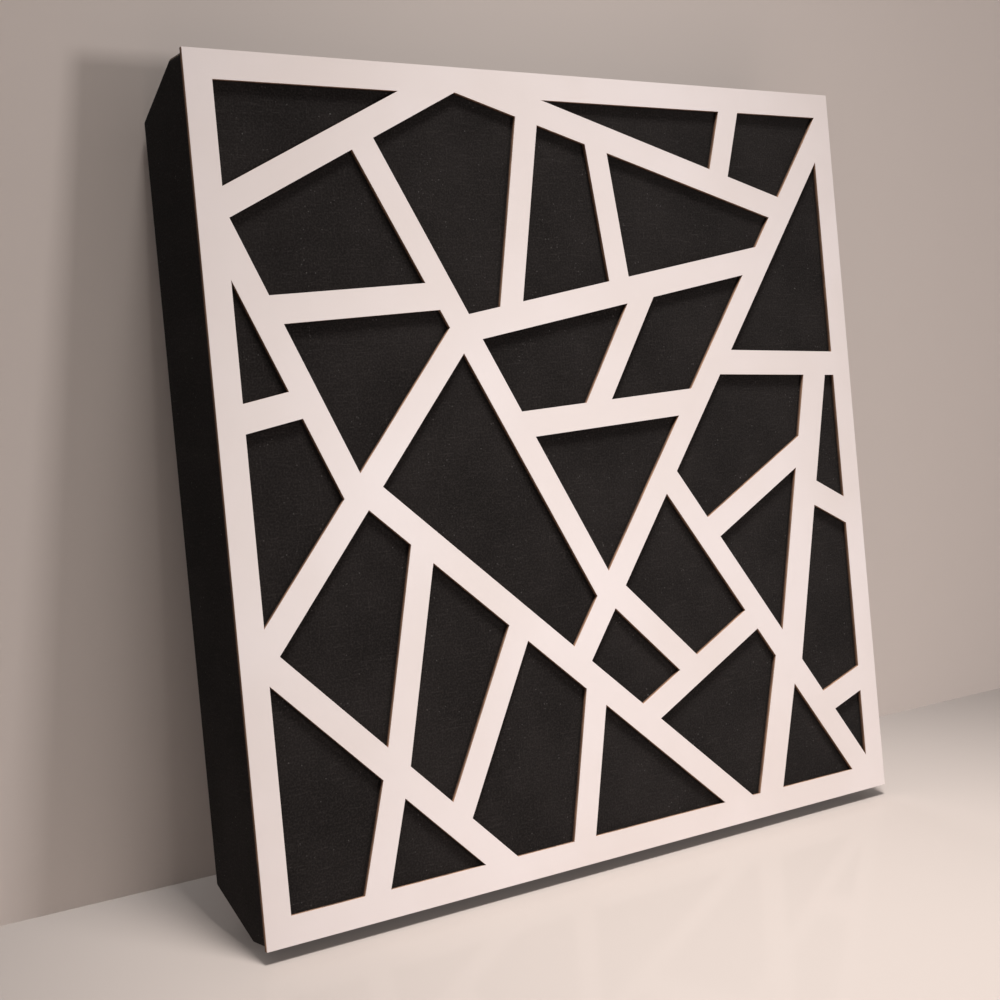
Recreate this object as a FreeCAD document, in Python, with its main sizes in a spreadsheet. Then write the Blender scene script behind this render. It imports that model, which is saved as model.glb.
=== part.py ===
"""Acoustic diffuser panel: a crackle-pattern lattice on a cloth-covered absorber box.

A square white-faced board, cut through into a lattice of straight bars, is bonded to the
front of a shallow timber box. The box is filled with a mineral wool slab and wrapped in
black cloth. Its rear top and bottom corners are bevelled, and it hangs from two keyhole
plates on the top rear rail.

Frame: +Z up, the lattice faces -Y and the wall is on the +Y side. The origin is at the
middle of the base. Lengths are in millimetres.
"""
import FreeCAD, Part
import math
import os

import Sketcher

doc = FreeCAD.newDocument("diffuser_panel")
sheet = doc.addObject("Spreadsheet::Sheet", "sheet")

# Driving dimensions
SIZES = {
    # lattice sheet
    "panel_width": 600,
    "panel_height": 600,
    "sheet_thickness": 3.2,
    "border_width": 20,
    "bar_width": 20,
    "broad_bar_width": 25,
    # tape between the lattice and the cloth
    "tape_thickness": 0.4,
    "tape_width": 12,
    "tape_inset": 4,
    # cloth cover
    "cloth_thickness": 0.8,
    "hem_width": 16,
    # timber box
    "frame_inset": 2.5,
    "frame_depth": 70,
    "board_thickness": 18,
    "straight_depth": 21,
    "bevel_rise": 30,
    "front_rail_depth": 40,
    "rear_rail_height": 45,
    "batten_height": 45,
    # absorber slab
    "seat_gap": 0.3,
    "slab_clearance": 1.7,
    # rear scrim
    "scrim_thickness": 0.4,
    "scrim_inset": 6,
    # staples
    "staple_crown": 10,
    "staple_wire": 0.7,
    "staple_leg": 8,
    "staple_pitch": 75,
    "staple_end": 50,
    "leg_clearance": 0.1,
    # keyhole hanger plates
    "plate_width": 44,
    "plate_height": 24,
    "plate_thickness": 1.5,
    "plate_corner": 3,
    "hanger_inset": 100,
    "keyhole_radius": 4.5,
    "slot_radius": 2.25,
    "keyhole_travel": 9,
    "recess_margin": 1,
    "recess_depth": 10,
    # hanger screws
    "plate_screw_edge": 6,
    "plate_screw_radius": 1.7,
    "plate_screw_head": 3.2,
    "plate_screw_length": 14,
    # frame screws
    "frame_screw_radius": 2,
    "frame_screw_head": 4,
    "frame_screw_length": 40,
    "front_screw_inset": 12,
    "rear_screw_inset": 12,
    "screw_clearance": 0.1,
    # wall bumpers
    "bumper_radius": 8,
    "bumper_thickness": 3,
    "bumper_dome": 0.8,
    "bumper_inset": 30,
}
for row, (alias, number) in enumerate(SIZES.items(), start=1):
    sheet.set("A%d" % row, alias)
    sheet.set("B%d" % row, str(number))
    sheet.setAlias("B%d" % row, alias)
doc.recompute()


def value(expression):
    """The number that an expression on the sheet's cells gives."""
    return float(sheet.evalExpression(expression))


# Places worked out from the driving dimensions, as expressions on the sheet
HALF_WIDTH = "(sheet.panel_width / 2)"
HALF_HEIGHT = "(sheet.panel_height / 2)"
FRAME_HALF_WIDTH = "(sheet.panel_width / 2 - sheet.frame_inset)"
FRAME_HALF_HEIGHT = "(sheet.panel_height / 2 - sheet.frame_inset)"
REAR_HALF_HEIGHT = "(%s - sheet.bevel_rise)" % FRAME_HALF_HEIGHT
BEVEL_RUN = "(sheet.frame_depth - sheet.straight_depth)"
BEVEL_SLOPE = "(sheet.bevel_rise / %s)" % BEVEL_RUN
RAIL_LENGTH = "(2 * (%s - sheet.board_thickness))" % FRAME_HALF_WIDTH
TOTAL_DEPTH = (
    "(sheet.sheet_thickness + sheet.tape_thickness + 2 * sheet.cloth_thickness"
    " + sheet.frame_depth + sheet.scrim_thickness + sheet.bumper_thickness)"
)
LATTICE_Y = "(-%s / 2)" % TOTAL_DEPTH
TAPE_Y = "(%s + sheet.sheet_thickness)" % LATTICE_Y
CLOTH_Y = "(%s + sheet.tape_thickness)" % TAPE_Y
FRAME_Y = "(%s + sheet.cloth_thickness)" % CLOTH_Y
HEM_Y = "(%s + sheet.frame_depth)" % FRAME_Y
SCRIM_Y = "(%s + sheet.cloth_thickness)" % HEM_Y
BACK_Y = "(%s + sheet.scrim_thickness)" % SCRIM_Y
PLATE_Z = "(%s - (sheet.hem_width + sheet.rear_rail_height) / 2)" % REAR_HALF_HEIGHT
HANGER_X = "(sheet.panel_width / 2 - sheet.hanger_inset)"
PLATE_SCREW_X = "(sheet.plate_width / 2 - sheet.plate_screw_edge)"
REAR_RAIL_Y = "(sheet.frame_depth - sheet.board_thickness)"
SLAB_THICKNESS = "(%s - sheet.seat_gap - sheet.slab_clearance)" % REAR_RAIL_Y
STAPLE_INSET = "(sheet.board_thickness / 2)"
RECESS_RADIUS = "(sheet.keyhole_radius + sheet.recess_margin)"


def bevel_height(depth):
    """Half height of the timber box at a depth behind its front face, on the bevel."""
    return "(%s - %s * (%s - sheet.straight_depth))" % (FRAME_HALF_HEIGHT, BEVEL_SLOPE, depth)


# Helpers for bodies, sketches and features
def new_body(label):
    body = doc.addObject("PartDesign::Body", label)
    body.Label = label
    return body


def sketch_on(body, role, name, offset="0"):
    """A sketch on one of the body's own origin planes, moved along the plane's normal."""
    plane = [item for item in body.Origin.OriginFeatures if item.Role == role][0]
    sketch = body.newObject("Sketcher::SketchObject", body.Label + "_" + name)
    sketch.AttachmentSupport = [(plane, "")]
    sketch.MapMode = "FlatFace"
    if offset != "0":
        sketch.setExpression("AttachmentOffset.Base.z", offset)
    return sketch


def pin_point(sketch, geometry, point, across, up):
    """Bind a sketch point to two expressions. A zero puts the point on the axis."""
    for kind, axis, expression in (("DistanceX", -2, across), ("DistanceY", -1, up)):
        if expression == "0":
            sketch.addConstraint(Sketcher.Constraint("PointOnObject", geometry, point, axis))
            continue
        number = value(expression)
        index = sketch.addConstraint(
            Sketcher.Constraint(kind, -1, 1, geometry, point, number)
        )
        name = "%s_%d_%d" % (kind.lower(), geometry, point)
        sketch.renameConstraint(index, name)
        sketch.setExpression("Constraints." + name, expression)


def close_loop(sketch, points):
    """Straight lines through the points, closed and joined end to end."""
    first = sketch.GeometryCount
    count = len(points)
    ends = [FreeCAD.Vector(across, up, 0) for across, up in points]
    lines = [Part.LineSegment(ends[k], ends[(k + 1) % count]) for k in range(count)]
    sketch.addGeometry(lines, False)
    joins = [
        Sketcher.Constraint("Coincident", first + k, 2, first + (k + 1) % count, 1)
        for k in range(count)
    ]
    sketch.addConstraint(joins)
    return first


def polygon(sketch, corners):
    """A closed outline whose corners are pairs of expressions."""
    first = close_loop(sketch, [(value(across), value(up)) for across, up in corners])
    for k, (across, up) in enumerate(corners):
        pin_point(sketch, first + k, 1, across, up)


def rectangle(sketch, left, right, low, high):
    polygon(sketch, [(left, low), (right, low), (right, high), (left, high)])


def circle(sketch, across, up, radius):
    centre = FreeCAD.Vector(value(across), value(up), 0)
    shape = Part.Circle(centre, FreeCAD.Vector(0, 0, 1), value(radius))
    index = sketch.addGeometry(shape, False)
    pin_point(sketch, index, 3, across, up)
    number = sketch.addConstraint(Sketcher.Constraint("Radius", index, value(radius)))
    name = "radius_%d" % index
    sketch.renameConstraint(number, name)
    sketch.setExpression("Constraints." + name, radius)


def upright_slot(sketch, across, low, high, radius):
    """A slot with round ends, its centres at two heights on one upright line."""
    middle = value(across)
    bottom = value(low)
    top = value(high)
    half = value(radius)
    normal = FreeCAD.Vector(0, 0, 1)
    lower_circle = Part.Circle(FreeCAD.Vector(middle, bottom, 0), normal, half)
    upper_circle = Part.Circle(FreeCAD.Vector(middle, top, 0), normal, half)
    lower = sketch.addGeometry(Part.ArcOfCircle(lower_circle, math.pi, 2 * math.pi), False)
    right = sketch.addGeometry(
        Part.LineSegment(
            FreeCAD.Vector(middle + half, bottom, 0), FreeCAD.Vector(middle + half, top, 0)
        ),
        False,
    )
    upper = sketch.addGeometry(Part.ArcOfCircle(upper_circle, 0, math.pi), False)
    left = sketch.addGeometry(
        Part.LineSegment(
            FreeCAD.Vector(middle - half, top, 0), FreeCAD.Vector(middle - half, bottom, 0)
        ),
        False,
    )
    sketch.addConstraint(Sketcher.Constraint("Tangent", lower, 2, right, 1))
    sketch.addConstraint(Sketcher.Constraint("Tangent", right, 2, upper, 1))
    sketch.addConstraint(Sketcher.Constraint("Tangent", upper, 2, left, 1))
    sketch.addConstraint(Sketcher.Constraint("Tangent", left, 2, lower, 1))
    pin_point(sketch, lower, 3, across, low)
    pin_point(sketch, upper, 3, across, high)
    number = sketch.addConstraint(Sketcher.Constraint("Radius", lower, half))
    name = "radius_%d" % lower
    sketch.renameConstraint(number, name)
    sketch.setExpression("Constraints." + name, radius)


def pad(body, sketch, length, midplane=False, backwards=True):
    """A pad. From the XZ plane, backwards takes it towards +Y, behind the sketch."""
    feature = body.newObject("PartDesign::Pad", sketch.Name + "_pad")
    feature.Profile = sketch
    feature.setExpression("Length", length)
    feature.Midplane = midplane
    feature.Reversed = backwards and not midplane
    return feature


def pocket(body, sketch, length=None, midplane=False, forwards=False):
    """A pocket. From the XZ plane it cuts towards +Y, or towards -Y when forwards is set."""
    feature = body.newObject("PartDesign::Pocket", sketch.Name + "_pocket")
    feature.Profile = sketch
    if length is None:
        feature.Type = "ThroughAll"
    else:
        feature.setExpression("Length", length)
    feature.Midplane = midplane
    feature.Reversed = forwards
    return feature


def countersunk_hole(body, sketch, radius, head, forwards=False):
    """Through holes for countersunk screws, with the screw clearance all round."""
    doc.recompute()
    feature = body.newObject("PartDesign::Hole", sketch.Name + "_hole")
    feature.Profile = sketch
    doc.recompute()
    feature.DepthType = "ThroughAll"
    feature.HoleCutType = "Countersink"
    feature.HoleCutCustomValues = True
    feature.HoleCutCountersinkAngle = 90
    feature.setExpression("Diameter", "2 * (%s + sheet.screw_clearance)" % radius)
    feature.setExpression("HoleCutDiameter", "2 * (%s + sheet.screw_clearance)" % head)
    feature.Reversed = forwards
    return feature


def place(body, across, depth, up, turn_axis=None):
    """Put a body in the row frame, given from the panel's centre. A turn is half a turn."""
    if turn_axis is not None:
        body.Placement.Rotation = FreeCAD.Rotation(turn_axis, 180)
    body.setExpression("Placement.Base.x", across)
    body.setExpression("Placement.Base.y", depth)
    body.setExpression("Placement.Base.z", "%s + (%s)" % (HALF_HEIGHT, up))


ABOUT_Y = FreeCAD.Vector(0, 1, 0)
ABOUT_Z = FreeCAD.Vector(0, 0, 1)
subparts = []


# Crackle pattern: centrelines of the bars, two points each, as shares of the panel's width
# and height from its centre. They stretch with the panel.
BARS = {
    "top_left_brace": ((-0.155, 0.483), (-0.472, 0.327)),
    "top_slope": ((-0.143, 0.486), (0.380, 0.336)),
    "top_right_post": ((0.307, 0.473), (0.278, 0.382)),
    "long_diagonal": ((0.485, 0.456), (-0.028, -0.237)),
    "upper_rail": ((0.337, 0.265), (-0.151, 0.183)),
    "upper_left_post": ((-0.040, 0.444), (-0.089, 0.207)),
    "falling_diagonal": ((-0.281, 0.401), (0.019, -0.156)),
    "upper_middle_post": ((0.066, 0.416), (0.087, 0.236)),
    "left_upper_rail": ((-0.199, 0.222), (-0.421, 0.210)),
    "left_fall": ((-0.478, 0.309), (-0.335, -0.001)),
    "right_rail": ((0.254, 0.125), (0.467, 0.115)),
    "centre_strut": ((0.128, 0.224), (0.030, 0.074)),
    "centre_rail": ((0.191, 0.075), (-0.089, 0.060)),
    "left_stub": ((-0.399, 0.102), (-0.470, 0.089)),
    "left_rise": ((-0.170, 0.173), (-0.465, -0.169)),
    "broad_post": ((0.429, 0.104), (0.335, -0.293)),
    "broad_foot": ((0.326, -0.291), (0.275, -0.473)),
    "right_stub": ((0.409, -0.066), (0.473, -0.099)),
    "right_strut": ((0.395, 0.001), (0.214, -0.096)),
    "right_fall": ((0.142, -0.025), (0.454, -0.462)),
    "long_fall": ((-0.307, -0.013), (0.229, -0.478)),
    "centre_link": ((0.040, -0.168), (0.150, -0.273)),
    "lower_rise": ((0.268, -0.228), (0.069, -0.329)),
    "right_lower_stub": ((0.470, -0.338), (0.396, -0.363)),
    "lower_left_post": ((-0.249, -0.073), (-0.310, -0.323)),
    "corner_fall": ((-0.464, -0.188), (-0.166, -0.478)),
    "lower_strut": ((-0.120, -0.190), (-0.229, -0.398)),
    "lower_post": ((-0.009, -0.281), (-0.050, -0.470)),
    "bottom_left_post": ((-0.317, -0.345), (-0.355, -0.472)),
}
BROAD_BARS = ("broad_post", "broad_foot")

# The bars and borders round each opening, in order
OPENINGS = (
    ("top", "left", "top_left_brace"),
    ("top", "top_slope", "top_right_post"),
    ("top", "top_right_post", "top_slope", "long_diagonal"),
    ("top_left_brace", "falling_diagonal", "upper_rail", "upper_left_post", "top_slope"),
    ("top_slope", "upper_middle_post", "upper_rail", "long_diagonal"),
    ("top_slope", "upper_left_post", "upper_rail", "upper_middle_post"),
    ("top_left_brace", "left_fall", "left_upper_rail", "falling_diagonal"),
    ("long_diagonal", "right_rail", "right"),
    ("upper_rail", "centre_strut", "centre_rail", "long_diagonal"),
    ("left", "left_stub", "left_fall"),
    ("upper_rail", "falling_diagonal", "centre_rail", "centre_strut"),
    ("left_upper_rail", "left_fall", "left_rise", "falling_diagonal"),
    ("right_rail", "broad_post", "right_stub", "right"),
    ("right_rail", "long_diagonal", "right_fall", "right_strut", "broad_post"),
    ("centre_rail", "falling_diagonal", "long_diagonal"),
    ("falling_diagonal", "left_rise", "long_fall", "long_diagonal"),
    ("left_stub", "left", "left_rise", "left_fall"),
    ("right_strut", "right_fall", "broad_post"),
    ("long_diagonal", "centre_link", "lower_rise", "right_fall"),
    ("right_stub", "broad_post", "right_fall", "right_lower_stub", "right"),
    ("left_rise", "corner_fall", "lower_left_post", "long_fall"),
    ("long_diagonal", "long_fall", "lower_rise", "centre_link"),
    ("long_fall", "lower_left_post", "corner_fall", "lower_strut"),
    ("lower_rise", "long_fall", "bottom", "broad_foot", "right_fall"),
    ("right_lower_stub", "right_fall", "right"),
    ("right_fall", "broad_foot", "bottom"),
    ("long_fall", "lower_strut", "corner_fall", "bottom", "lower_post"),
    ("long_fall", "lower_post", "bottom"),
    ("left", "bottom", "bottom_left_post", "corner_fall"),
    ("corner_fall", "bottom_left_post", "bottom"),
)


def bar_lines():
    """Each bar and border as a point, a direction and a half width."""
    half_width = value(HALF_WIDTH)
    half_height = value(HALF_HEIGHT)
    border = value("sheet.border_width") / 2
    lines = {
        "left": ((border - half_width, 0), (0, 1), border),
        "right": ((half_width - border, 0), (0, 1), border),
        "bottom": ((0, border - half_height), (1, 0), border),
        "top": ((0, half_height - border), (1, 0), border),
    }
    width = value("sheet.panel_width")
    height = value("sheet.panel_height")
    for name, ends in BARS.items():
        (x0, z0), (x1, z1) = [(x * width, z * height) for x, z in ends]
        length = math.hypot(x1 - x0, z1 - z0)
        width_name = "sheet.broad_bar_width" if name in BROAD_BARS else "sheet.bar_width"
        direction = ((x1 - x0) / length, (z1 - z0) / length)
        lines[name] = ((x0, z0), direction, value(width_name) / 2)
    return lines


def crossing(first, second):
    """The point where two lines, each a point and a direction, cross."""
    (x0, z0), (dx0, dz0) = first
    (x1, z1), (dx1, dz1) = second
    along = ((x1 - x0) * dz1 - (z1 - z0) * dx1) / (dx0 * dz1 - dz0 * dx1)
    return (x0 + dx0 * along, z0 + dz0 * along)


def crossings(lines):
    """The corners of the outline that a ring of lines makes."""
    count = len(lines)
    return [crossing(lines[k - 1], lines[k]) for k in range(count)]


def opening_corners(names, lines):
    """The corners of an opening: the centrelines round it, each moved in by half a bar."""
    centrelines = [(lines[name][0], lines[name][1]) for name in names]
    corners = crossings(centrelines)
    middle_x = sum(x for x, z in corners) / len(corners)
    middle_z = sum(z for x, z in corners) / len(corners)
    edges = []
    for name in names:
        (x, z), (dx, dz), half = lines[name]
        towards = (middle_x - x) * -dz + (middle_z - z) * dx
        shift = math.copysign(half, towards)
        edges.append(((x - dz * shift, z + dx * shift), (dx, dz)))
    return crossings(edges)


def lattice_panel():
    """One sheet with the openings cut through it. Its face is on the local XZ plane."""
    body = new_body("lattice_panel")
    outline = sketch_on(body, "XZ_Plane", "outline")
    rectangle(outline, "-" + HALF_WIDTH, HALF_WIDTH, "-" + HALF_HEIGHT, HALF_HEIGHT)
    pad(body, outline, "sheet.sheet_thickness")
    openings = sketch_on(body, "XZ_Plane", "openings")
    lines = bar_lines()
    for names in OPENINGS:
        close_loop(openings, opening_corners(names, lines))
    pocket(body, openings)
    place(body, "0", LATTICE_Y, "0")
    return body


def tape_strip(label, left, right, low, high):
    """A strip of double-sided tape behind the lattice's border."""
    body = new_body(label)
    outline = sketch_on(body, "XZ_Plane", "outline")
    rectangle(outline, left, right, low, high)
    pad(body, outline, "sheet.tape_thickness")
    place(body, "0", TAPE_Y, "0")
    return body


def tape_strips():
    """Four strips in a ring. The upright ones end a seat gap short of the level ones."""
    outer_x = "(%s - sheet.tape_inset)" % HALF_WIDTH
    outer_z = "(%s - sheet.tape_inset)" % HALF_HEIGHT
    inner_x = "(%s - sheet.tape_width)" % outer_x
    inner_z = "(%s - sheet.tape_width)" % outer_z
    end_z = "(%s - sheet.seat_gap)" % inner_z
    return [
        tape_strip("tape_top", "-" + outer_x, outer_x, inner_z, outer_z),
        tape_strip("tape_bottom", "-" + outer_x, outer_x, "-" + outer_z, "-" + inner_z),
        tape_strip("tape_left", "-" + outer_x, "-" + inner_x, "-" + end_z, end_z),
        tape_strip("tape_right", inner_x, outer_x, "-" + end_z, end_z),
    ]


# Staple rows: centres, evenly spaced, and the direction of the crown
def evenly(last, pitch):
    """Places from minus last to last, about one pitch apart."""
    gaps = max(1, round(2 * last / pitch))
    return [-last + 2 * last * k / gaps for k in range(gaps + 1)]


def level_row():
    """Crown centres along a level edge, across the panel."""
    last = value("%s - sheet.staple_end" % FRAME_HALF_WIDTH)
    return evenly(last, value("sheet.staple_pitch"))


def upright_row():
    """Crown centres along an upright edge, up the panel."""
    last = value("%s - sheet.staple_end" % REAR_HALF_HEIGHT)
    return evenly(last, value("sheet.staple_pitch"))


def leg_holes(sketch, across, up, upright):
    """Square holes for the two legs of a staple, either side of its crown's middle."""
    half = value("sheet.staple_wire / 2 + sheet.leg_clearance")
    reach = value("(sheet.staple_crown - sheet.staple_wire) / 2")
    for shift in (-reach, reach):
        x = across + (0 if upright else shift)
        z = up + (shift if upright else 0)
        corners = [(-half, -half), (half, -half), (half, half), (-half, half)]
        close_loop(sketch, [(x + dx, z + dz) for dx, dz in corners])


def staple_places():
    """Every staple as its crown's middle, from the panel's centre, and whether it is upright."""
    edge_x = value("%s - %s" % (FRAME_HALF_WIDTH, STAPLE_INSET))
    edge_z = value("%s - %s" % (REAR_HALF_HEIGHT, STAPLE_INSET))
    places = []
    for side in (-1, 1):
        places += [(across, side * edge_z, False) for across in level_row()]
        places += [(side * edge_x, up, True) for up in upright_row()]
    return places


def all_leg_holes(sketch):
    """Leg holes of all four rows."""
    for across, up, upright in staple_places():
        leg_holes(sketch, across, up, upright)


def fabric_cover():
    """Cloth drawn round the timber box, with a hem turned on to its rear faces."""
    body = new_body("fabric_cover")
    cloth = "sheet.cloth_thickness"
    stretch = "sqrt(1 + %s ^ 2)" % BEVEL_SLOPE
    corner_shift = "%s * (%s - 1) / %s" % (cloth, stretch, BEVEL_SLOPE)
    corner_y = "(%s + sheet.straight_depth + %s)" % (cloth, corner_shift)
    front_z = "(%s + %s)" % (FRAME_HALF_HEIGHT, cloth)
    back_y = "(sheet.frame_depth + 2 * %s)" % cloth
    back_z = "(%s + %s * (%s - %s))" % (REAR_HALF_HEIGHT, cloth, stretch, BEVEL_SLOPE)
    outside = sketch_on(body, "YZ_Plane", "outside")
    polygon(outside, [
        ("0", "-" + front_z), (corner_y, "-" + front_z), (back_y, "-" + back_z),
        (back_y, back_z), (corner_y, front_z), ("0", front_z),
    ])
    pad(body, outside, "2 * (%s + %s)" % (FRAME_HALF_WIDTH, cloth), midplane=True)
    inside = sketch_on(body, "YZ_Plane", "inside")
    inner_corner_y = "(%s + sheet.straight_depth)" % cloth
    inner_back_y = "(%s + sheet.frame_depth)" % cloth
    polygon(inside, [
        (cloth, "-" + FRAME_HALF_HEIGHT), (inner_corner_y, "-" + FRAME_HALF_HEIGHT),
        (inner_back_y, "-" + REAR_HALF_HEIGHT), (inner_back_y, REAR_HALF_HEIGHT),
        (inner_corner_y, FRAME_HALF_HEIGHT), (cloth, FRAME_HALF_HEIGHT),
    ])
    pocket(body, inside, "2 * %s" % FRAME_HALF_WIDTH, midplane=True)
    window = sketch_on(body, "XZ_Plane", "window", "-" + inner_back_y)
    side = "(%s - sheet.hem_width)" % FRAME_HALF_WIDTH
    rise = "(%s - sheet.hem_width)" % REAR_HALF_HEIGHT
    rectangle(window, "-" + side, side, "-" + rise, rise)
    pocket(body, window)
    legs = sketch_on(body, "XZ_Plane", "legs", "-" + inner_back_y)
    all_leg_holes(legs)
    pocket(body, legs)
    place(body, "0", CLOTH_Y, "0")
    return body


# Screws through the side boards into the rail ends, as depth and height from the centre
def front_screw_points():
    """One in the rail's straight part and one under its bevel, each midway in the wood."""
    low = "(%s - sheet.board_thickness)" % FRAME_HALF_HEIGHT
    rear_depth = "(sheet.front_rail_depth - sheet.front_screw_inset)"
    front_height = "(%s - sheet.board_thickness / 2)" % FRAME_HALF_HEIGHT
    rear_height = "((%s + %s) / 2)" % (low, bevel_height(rear_depth))
    return [("sheet.front_screw_inset", front_height), (rear_depth, rear_height)]


def rear_screw_points():
    depth = "(sheet.frame_depth - sheet.board_thickness / 2)"
    return [
        (depth, "(%s - sheet.rear_screw_inset)" % REAR_HALF_HEIGHT),
        (depth, "(%s - sheet.rear_rail_height + sheet.rear_screw_inset)" % REAR_HALF_HEIGHT),
    ]


def batten_screw_points():
    depth = "(sheet.frame_depth - sheet.board_thickness / 2)"
    height = "(sheet.batten_height / 2 - sheet.rear_screw_inset)"
    return [(depth, height), (depth, "-" + height)]


def all_screw_points():
    """Depth and height of each screw in a side board."""
    upper = front_screw_points() + rear_screw_points()
    lower = [(depth, "-" + height) for depth, height in upper]
    return upper + batten_screw_points() + lower


def side_board(label, side):
    """A board with both rear corners cut off. Its outer face is on the local YZ plane."""
    body = new_body(label)
    outline = sketch_on(body, "YZ_Plane", "outline")
    polygon(outline, [
        ("0", "-" + FRAME_HALF_HEIGHT), ("sheet.straight_depth", "-" + FRAME_HALF_HEIGHT),
        ("sheet.frame_depth", "-" + REAR_HALF_HEIGHT), ("sheet.frame_depth", REAR_HALF_HEIGHT),
        ("sheet.straight_depth", FRAME_HALF_HEIGHT), ("0", FRAME_HALF_HEIGHT),
    ])
    pad(body, outline, "sheet.board_thickness", backwards=False)
    screws = sketch_on(body, "YZ_Plane", "screws")
    for depth, height in all_screw_points():
        circle(screws, depth, height, "sheet.frame_screw_radius")
    radius = "sheet.frame_screw_radius"
    countersunk_hole(body, screws, radius, "sheet.frame_screw_head", forwards=True)
    legs = sketch_on(body, "XZ_Plane", "legs", "-sheet.frame_depth")
    for up in upright_row():
        leg_holes(legs, value(STAPLE_INSET), up, True)
    pocket(body, legs, "sheet.staple_leg", forwards=True)
    turn = None if side < 0 else ABOUT_Y
    across = FRAME_HALF_WIDTH if side > 0 else "-" + FRAME_HALF_WIDTH
    place(body, across, FRAME_Y, "0", turn)
    return body


def end_pilot_holes(body, points):
    """Pilot holes in both ends of a rail, for the screws that come through the side boards."""
    depth = "sheet.frame_screw_length - sheet.board_thickness + sheet.seat_gap"
    pilots = sketch_on(body, "YZ_Plane", "pilots", "%s / 2" % RAIL_LENGTH)
    for across, up in points:
        circle(pilots, across, up, "sheet.frame_screw_radius + sheet.screw_clearance")
    first = pocket(body, pilots, depth)
    mirrored = body.newObject("PartDesign::Mirrored", body.Label + "_other_end")
    mirrored.Originals = [first]
    plane = [item for item in body.Origin.OriginFeatures if item.Role == "YZ_Plane"][0]
    mirrored.MirrorPlane = (plane, [""])
    body.Tip = mirrored


def front_rail(label, turn):
    """A board along the top or bottom, its rear part planed to the bevel."""
    body = new_body(label)
    low = "(%s - sheet.board_thickness)" % FRAME_HALF_HEIGHT
    section = sketch_on(body, "YZ_Plane", "section")
    polygon(section, [
        ("0", low), ("sheet.front_rail_depth", low),
        ("sheet.front_rail_depth", bevel_height("sheet.front_rail_depth")),
        ("sheet.straight_depth", FRAME_HALF_HEIGHT), ("0", FRAME_HALF_HEIGHT),
    ])
    pad(body, section, RAIL_LENGTH, midplane=True)
    end_pilot_holes(body, front_screw_points())
    place(body, "0", FRAME_Y, "0", turn)
    return body


def rear_rail(label, turn, with_hangers):
    """A board on the rear face, its outer edge on the bevel."""
    body = new_body(label)
    low = "(%s - sheet.rear_rail_height)" % REAR_HALF_HEIGHT
    section = sketch_on(body, "YZ_Plane", "section")
    polygon(section, [
        (REAR_RAIL_Y, low), ("sheet.frame_depth", low),
        ("sheet.frame_depth", REAR_HALF_HEIGHT), (REAR_RAIL_Y, bevel_height(REAR_RAIL_Y)),
    ])
    pad(body, section, RAIL_LENGTH, midplane=True)
    end_pilot_holes(body, rear_screw_points())
    legs = sketch_on(body, "XZ_Plane", "legs", "-sheet.frame_depth")
    for across in level_row():
        leg_holes(legs, across, value("%s - %s" % (REAR_HALF_HEIGHT, STAPLE_INSET)), False)
    pocket(body, legs, "sheet.staple_leg", forwards=True)
    if with_hangers:
        recesses = sketch_on(body, "XZ_Plane", "recesses", "-sheet.frame_depth")
        for side in ("-", ""):
            hanger_recess(recesses, side + HANGER_X)
        pocket(body, recesses, "sheet.recess_depth", forwards=True)
        pilots = sketch_on(body, "XZ_Plane", "plate_pilots", "-sheet.frame_depth")
        for across in plate_screw_places():
            circle(pilots, across, PLATE_Z, "sheet.plate_screw_radius + sheet.screw_clearance")
        pocket(body, pilots, "sheet.plate_screw_length", forwards=True)
    place(body, "0", FRAME_Y, "0", turn)
    return body


def hanger_recess(sketch, across):
    """The routed recess that lets a wall screw's head slide up behind a keyhole."""
    low = "(%s - sheet.keyhole_travel / 2)" % PLATE_Z
    high = "(%s + sheet.keyhole_travel / 2)" % PLATE_Z
    upright_slot(sketch, across, low, high, RECESS_RADIUS)


def plate_screw_places():
    """How far across each hanger screw is from the panel's middle."""
    outer = "(%s + %s)" % (HANGER_X, PLATE_SCREW_X)
    inner = "(%s - %s)" % (HANGER_X, PLATE_SCREW_X)
    return ["-" + outer, "-" + inner, inner, outer]


def centre_batten():
    """A level board across the rear, behind the slab."""
    body = new_body("centre_batten")
    half = "(sheet.batten_height / 2)"
    section = sketch_on(body, "YZ_Plane", "section")
    polygon(section, [
        (REAR_RAIL_Y, "-" + half), ("sheet.frame_depth", "-" + half),
        ("sheet.frame_depth", half), (REAR_RAIL_Y, half),
    ])
    pad(body, section, RAIL_LENGTH, midplane=True)
    end_pilot_holes(body, batten_screw_points())
    place(body, "0", FRAME_Y, "0")
    return body


def absorber_slab():
    """The mineral wool slab, between the front cloth and the rear rails, clear of the bevel."""
    body = new_body("absorber_slab")
    back = "(sheet.seat_gap + %s)" % SLAB_THICKNESS
    low = "(%s - sheet.board_thickness - sheet.seat_gap)" % FRAME_HALF_HEIGHT
    half_height = "min(%s; %s - sheet.seat_gap)" % (low, bevel_height(back))
    half_width = "(%s / 2 - sheet.seat_gap)" % RAIL_LENGTH
    outline = sketch_on(body, "XZ_Plane", "outline")
    rectangle(outline, "-" + half_width, half_width, "-" + half_height, half_height)
    pad(body, outline, SLAB_THICKNESS)
    place(body, "0", "%s + sheet.seat_gap" % FRAME_Y, "0")
    return body


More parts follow.
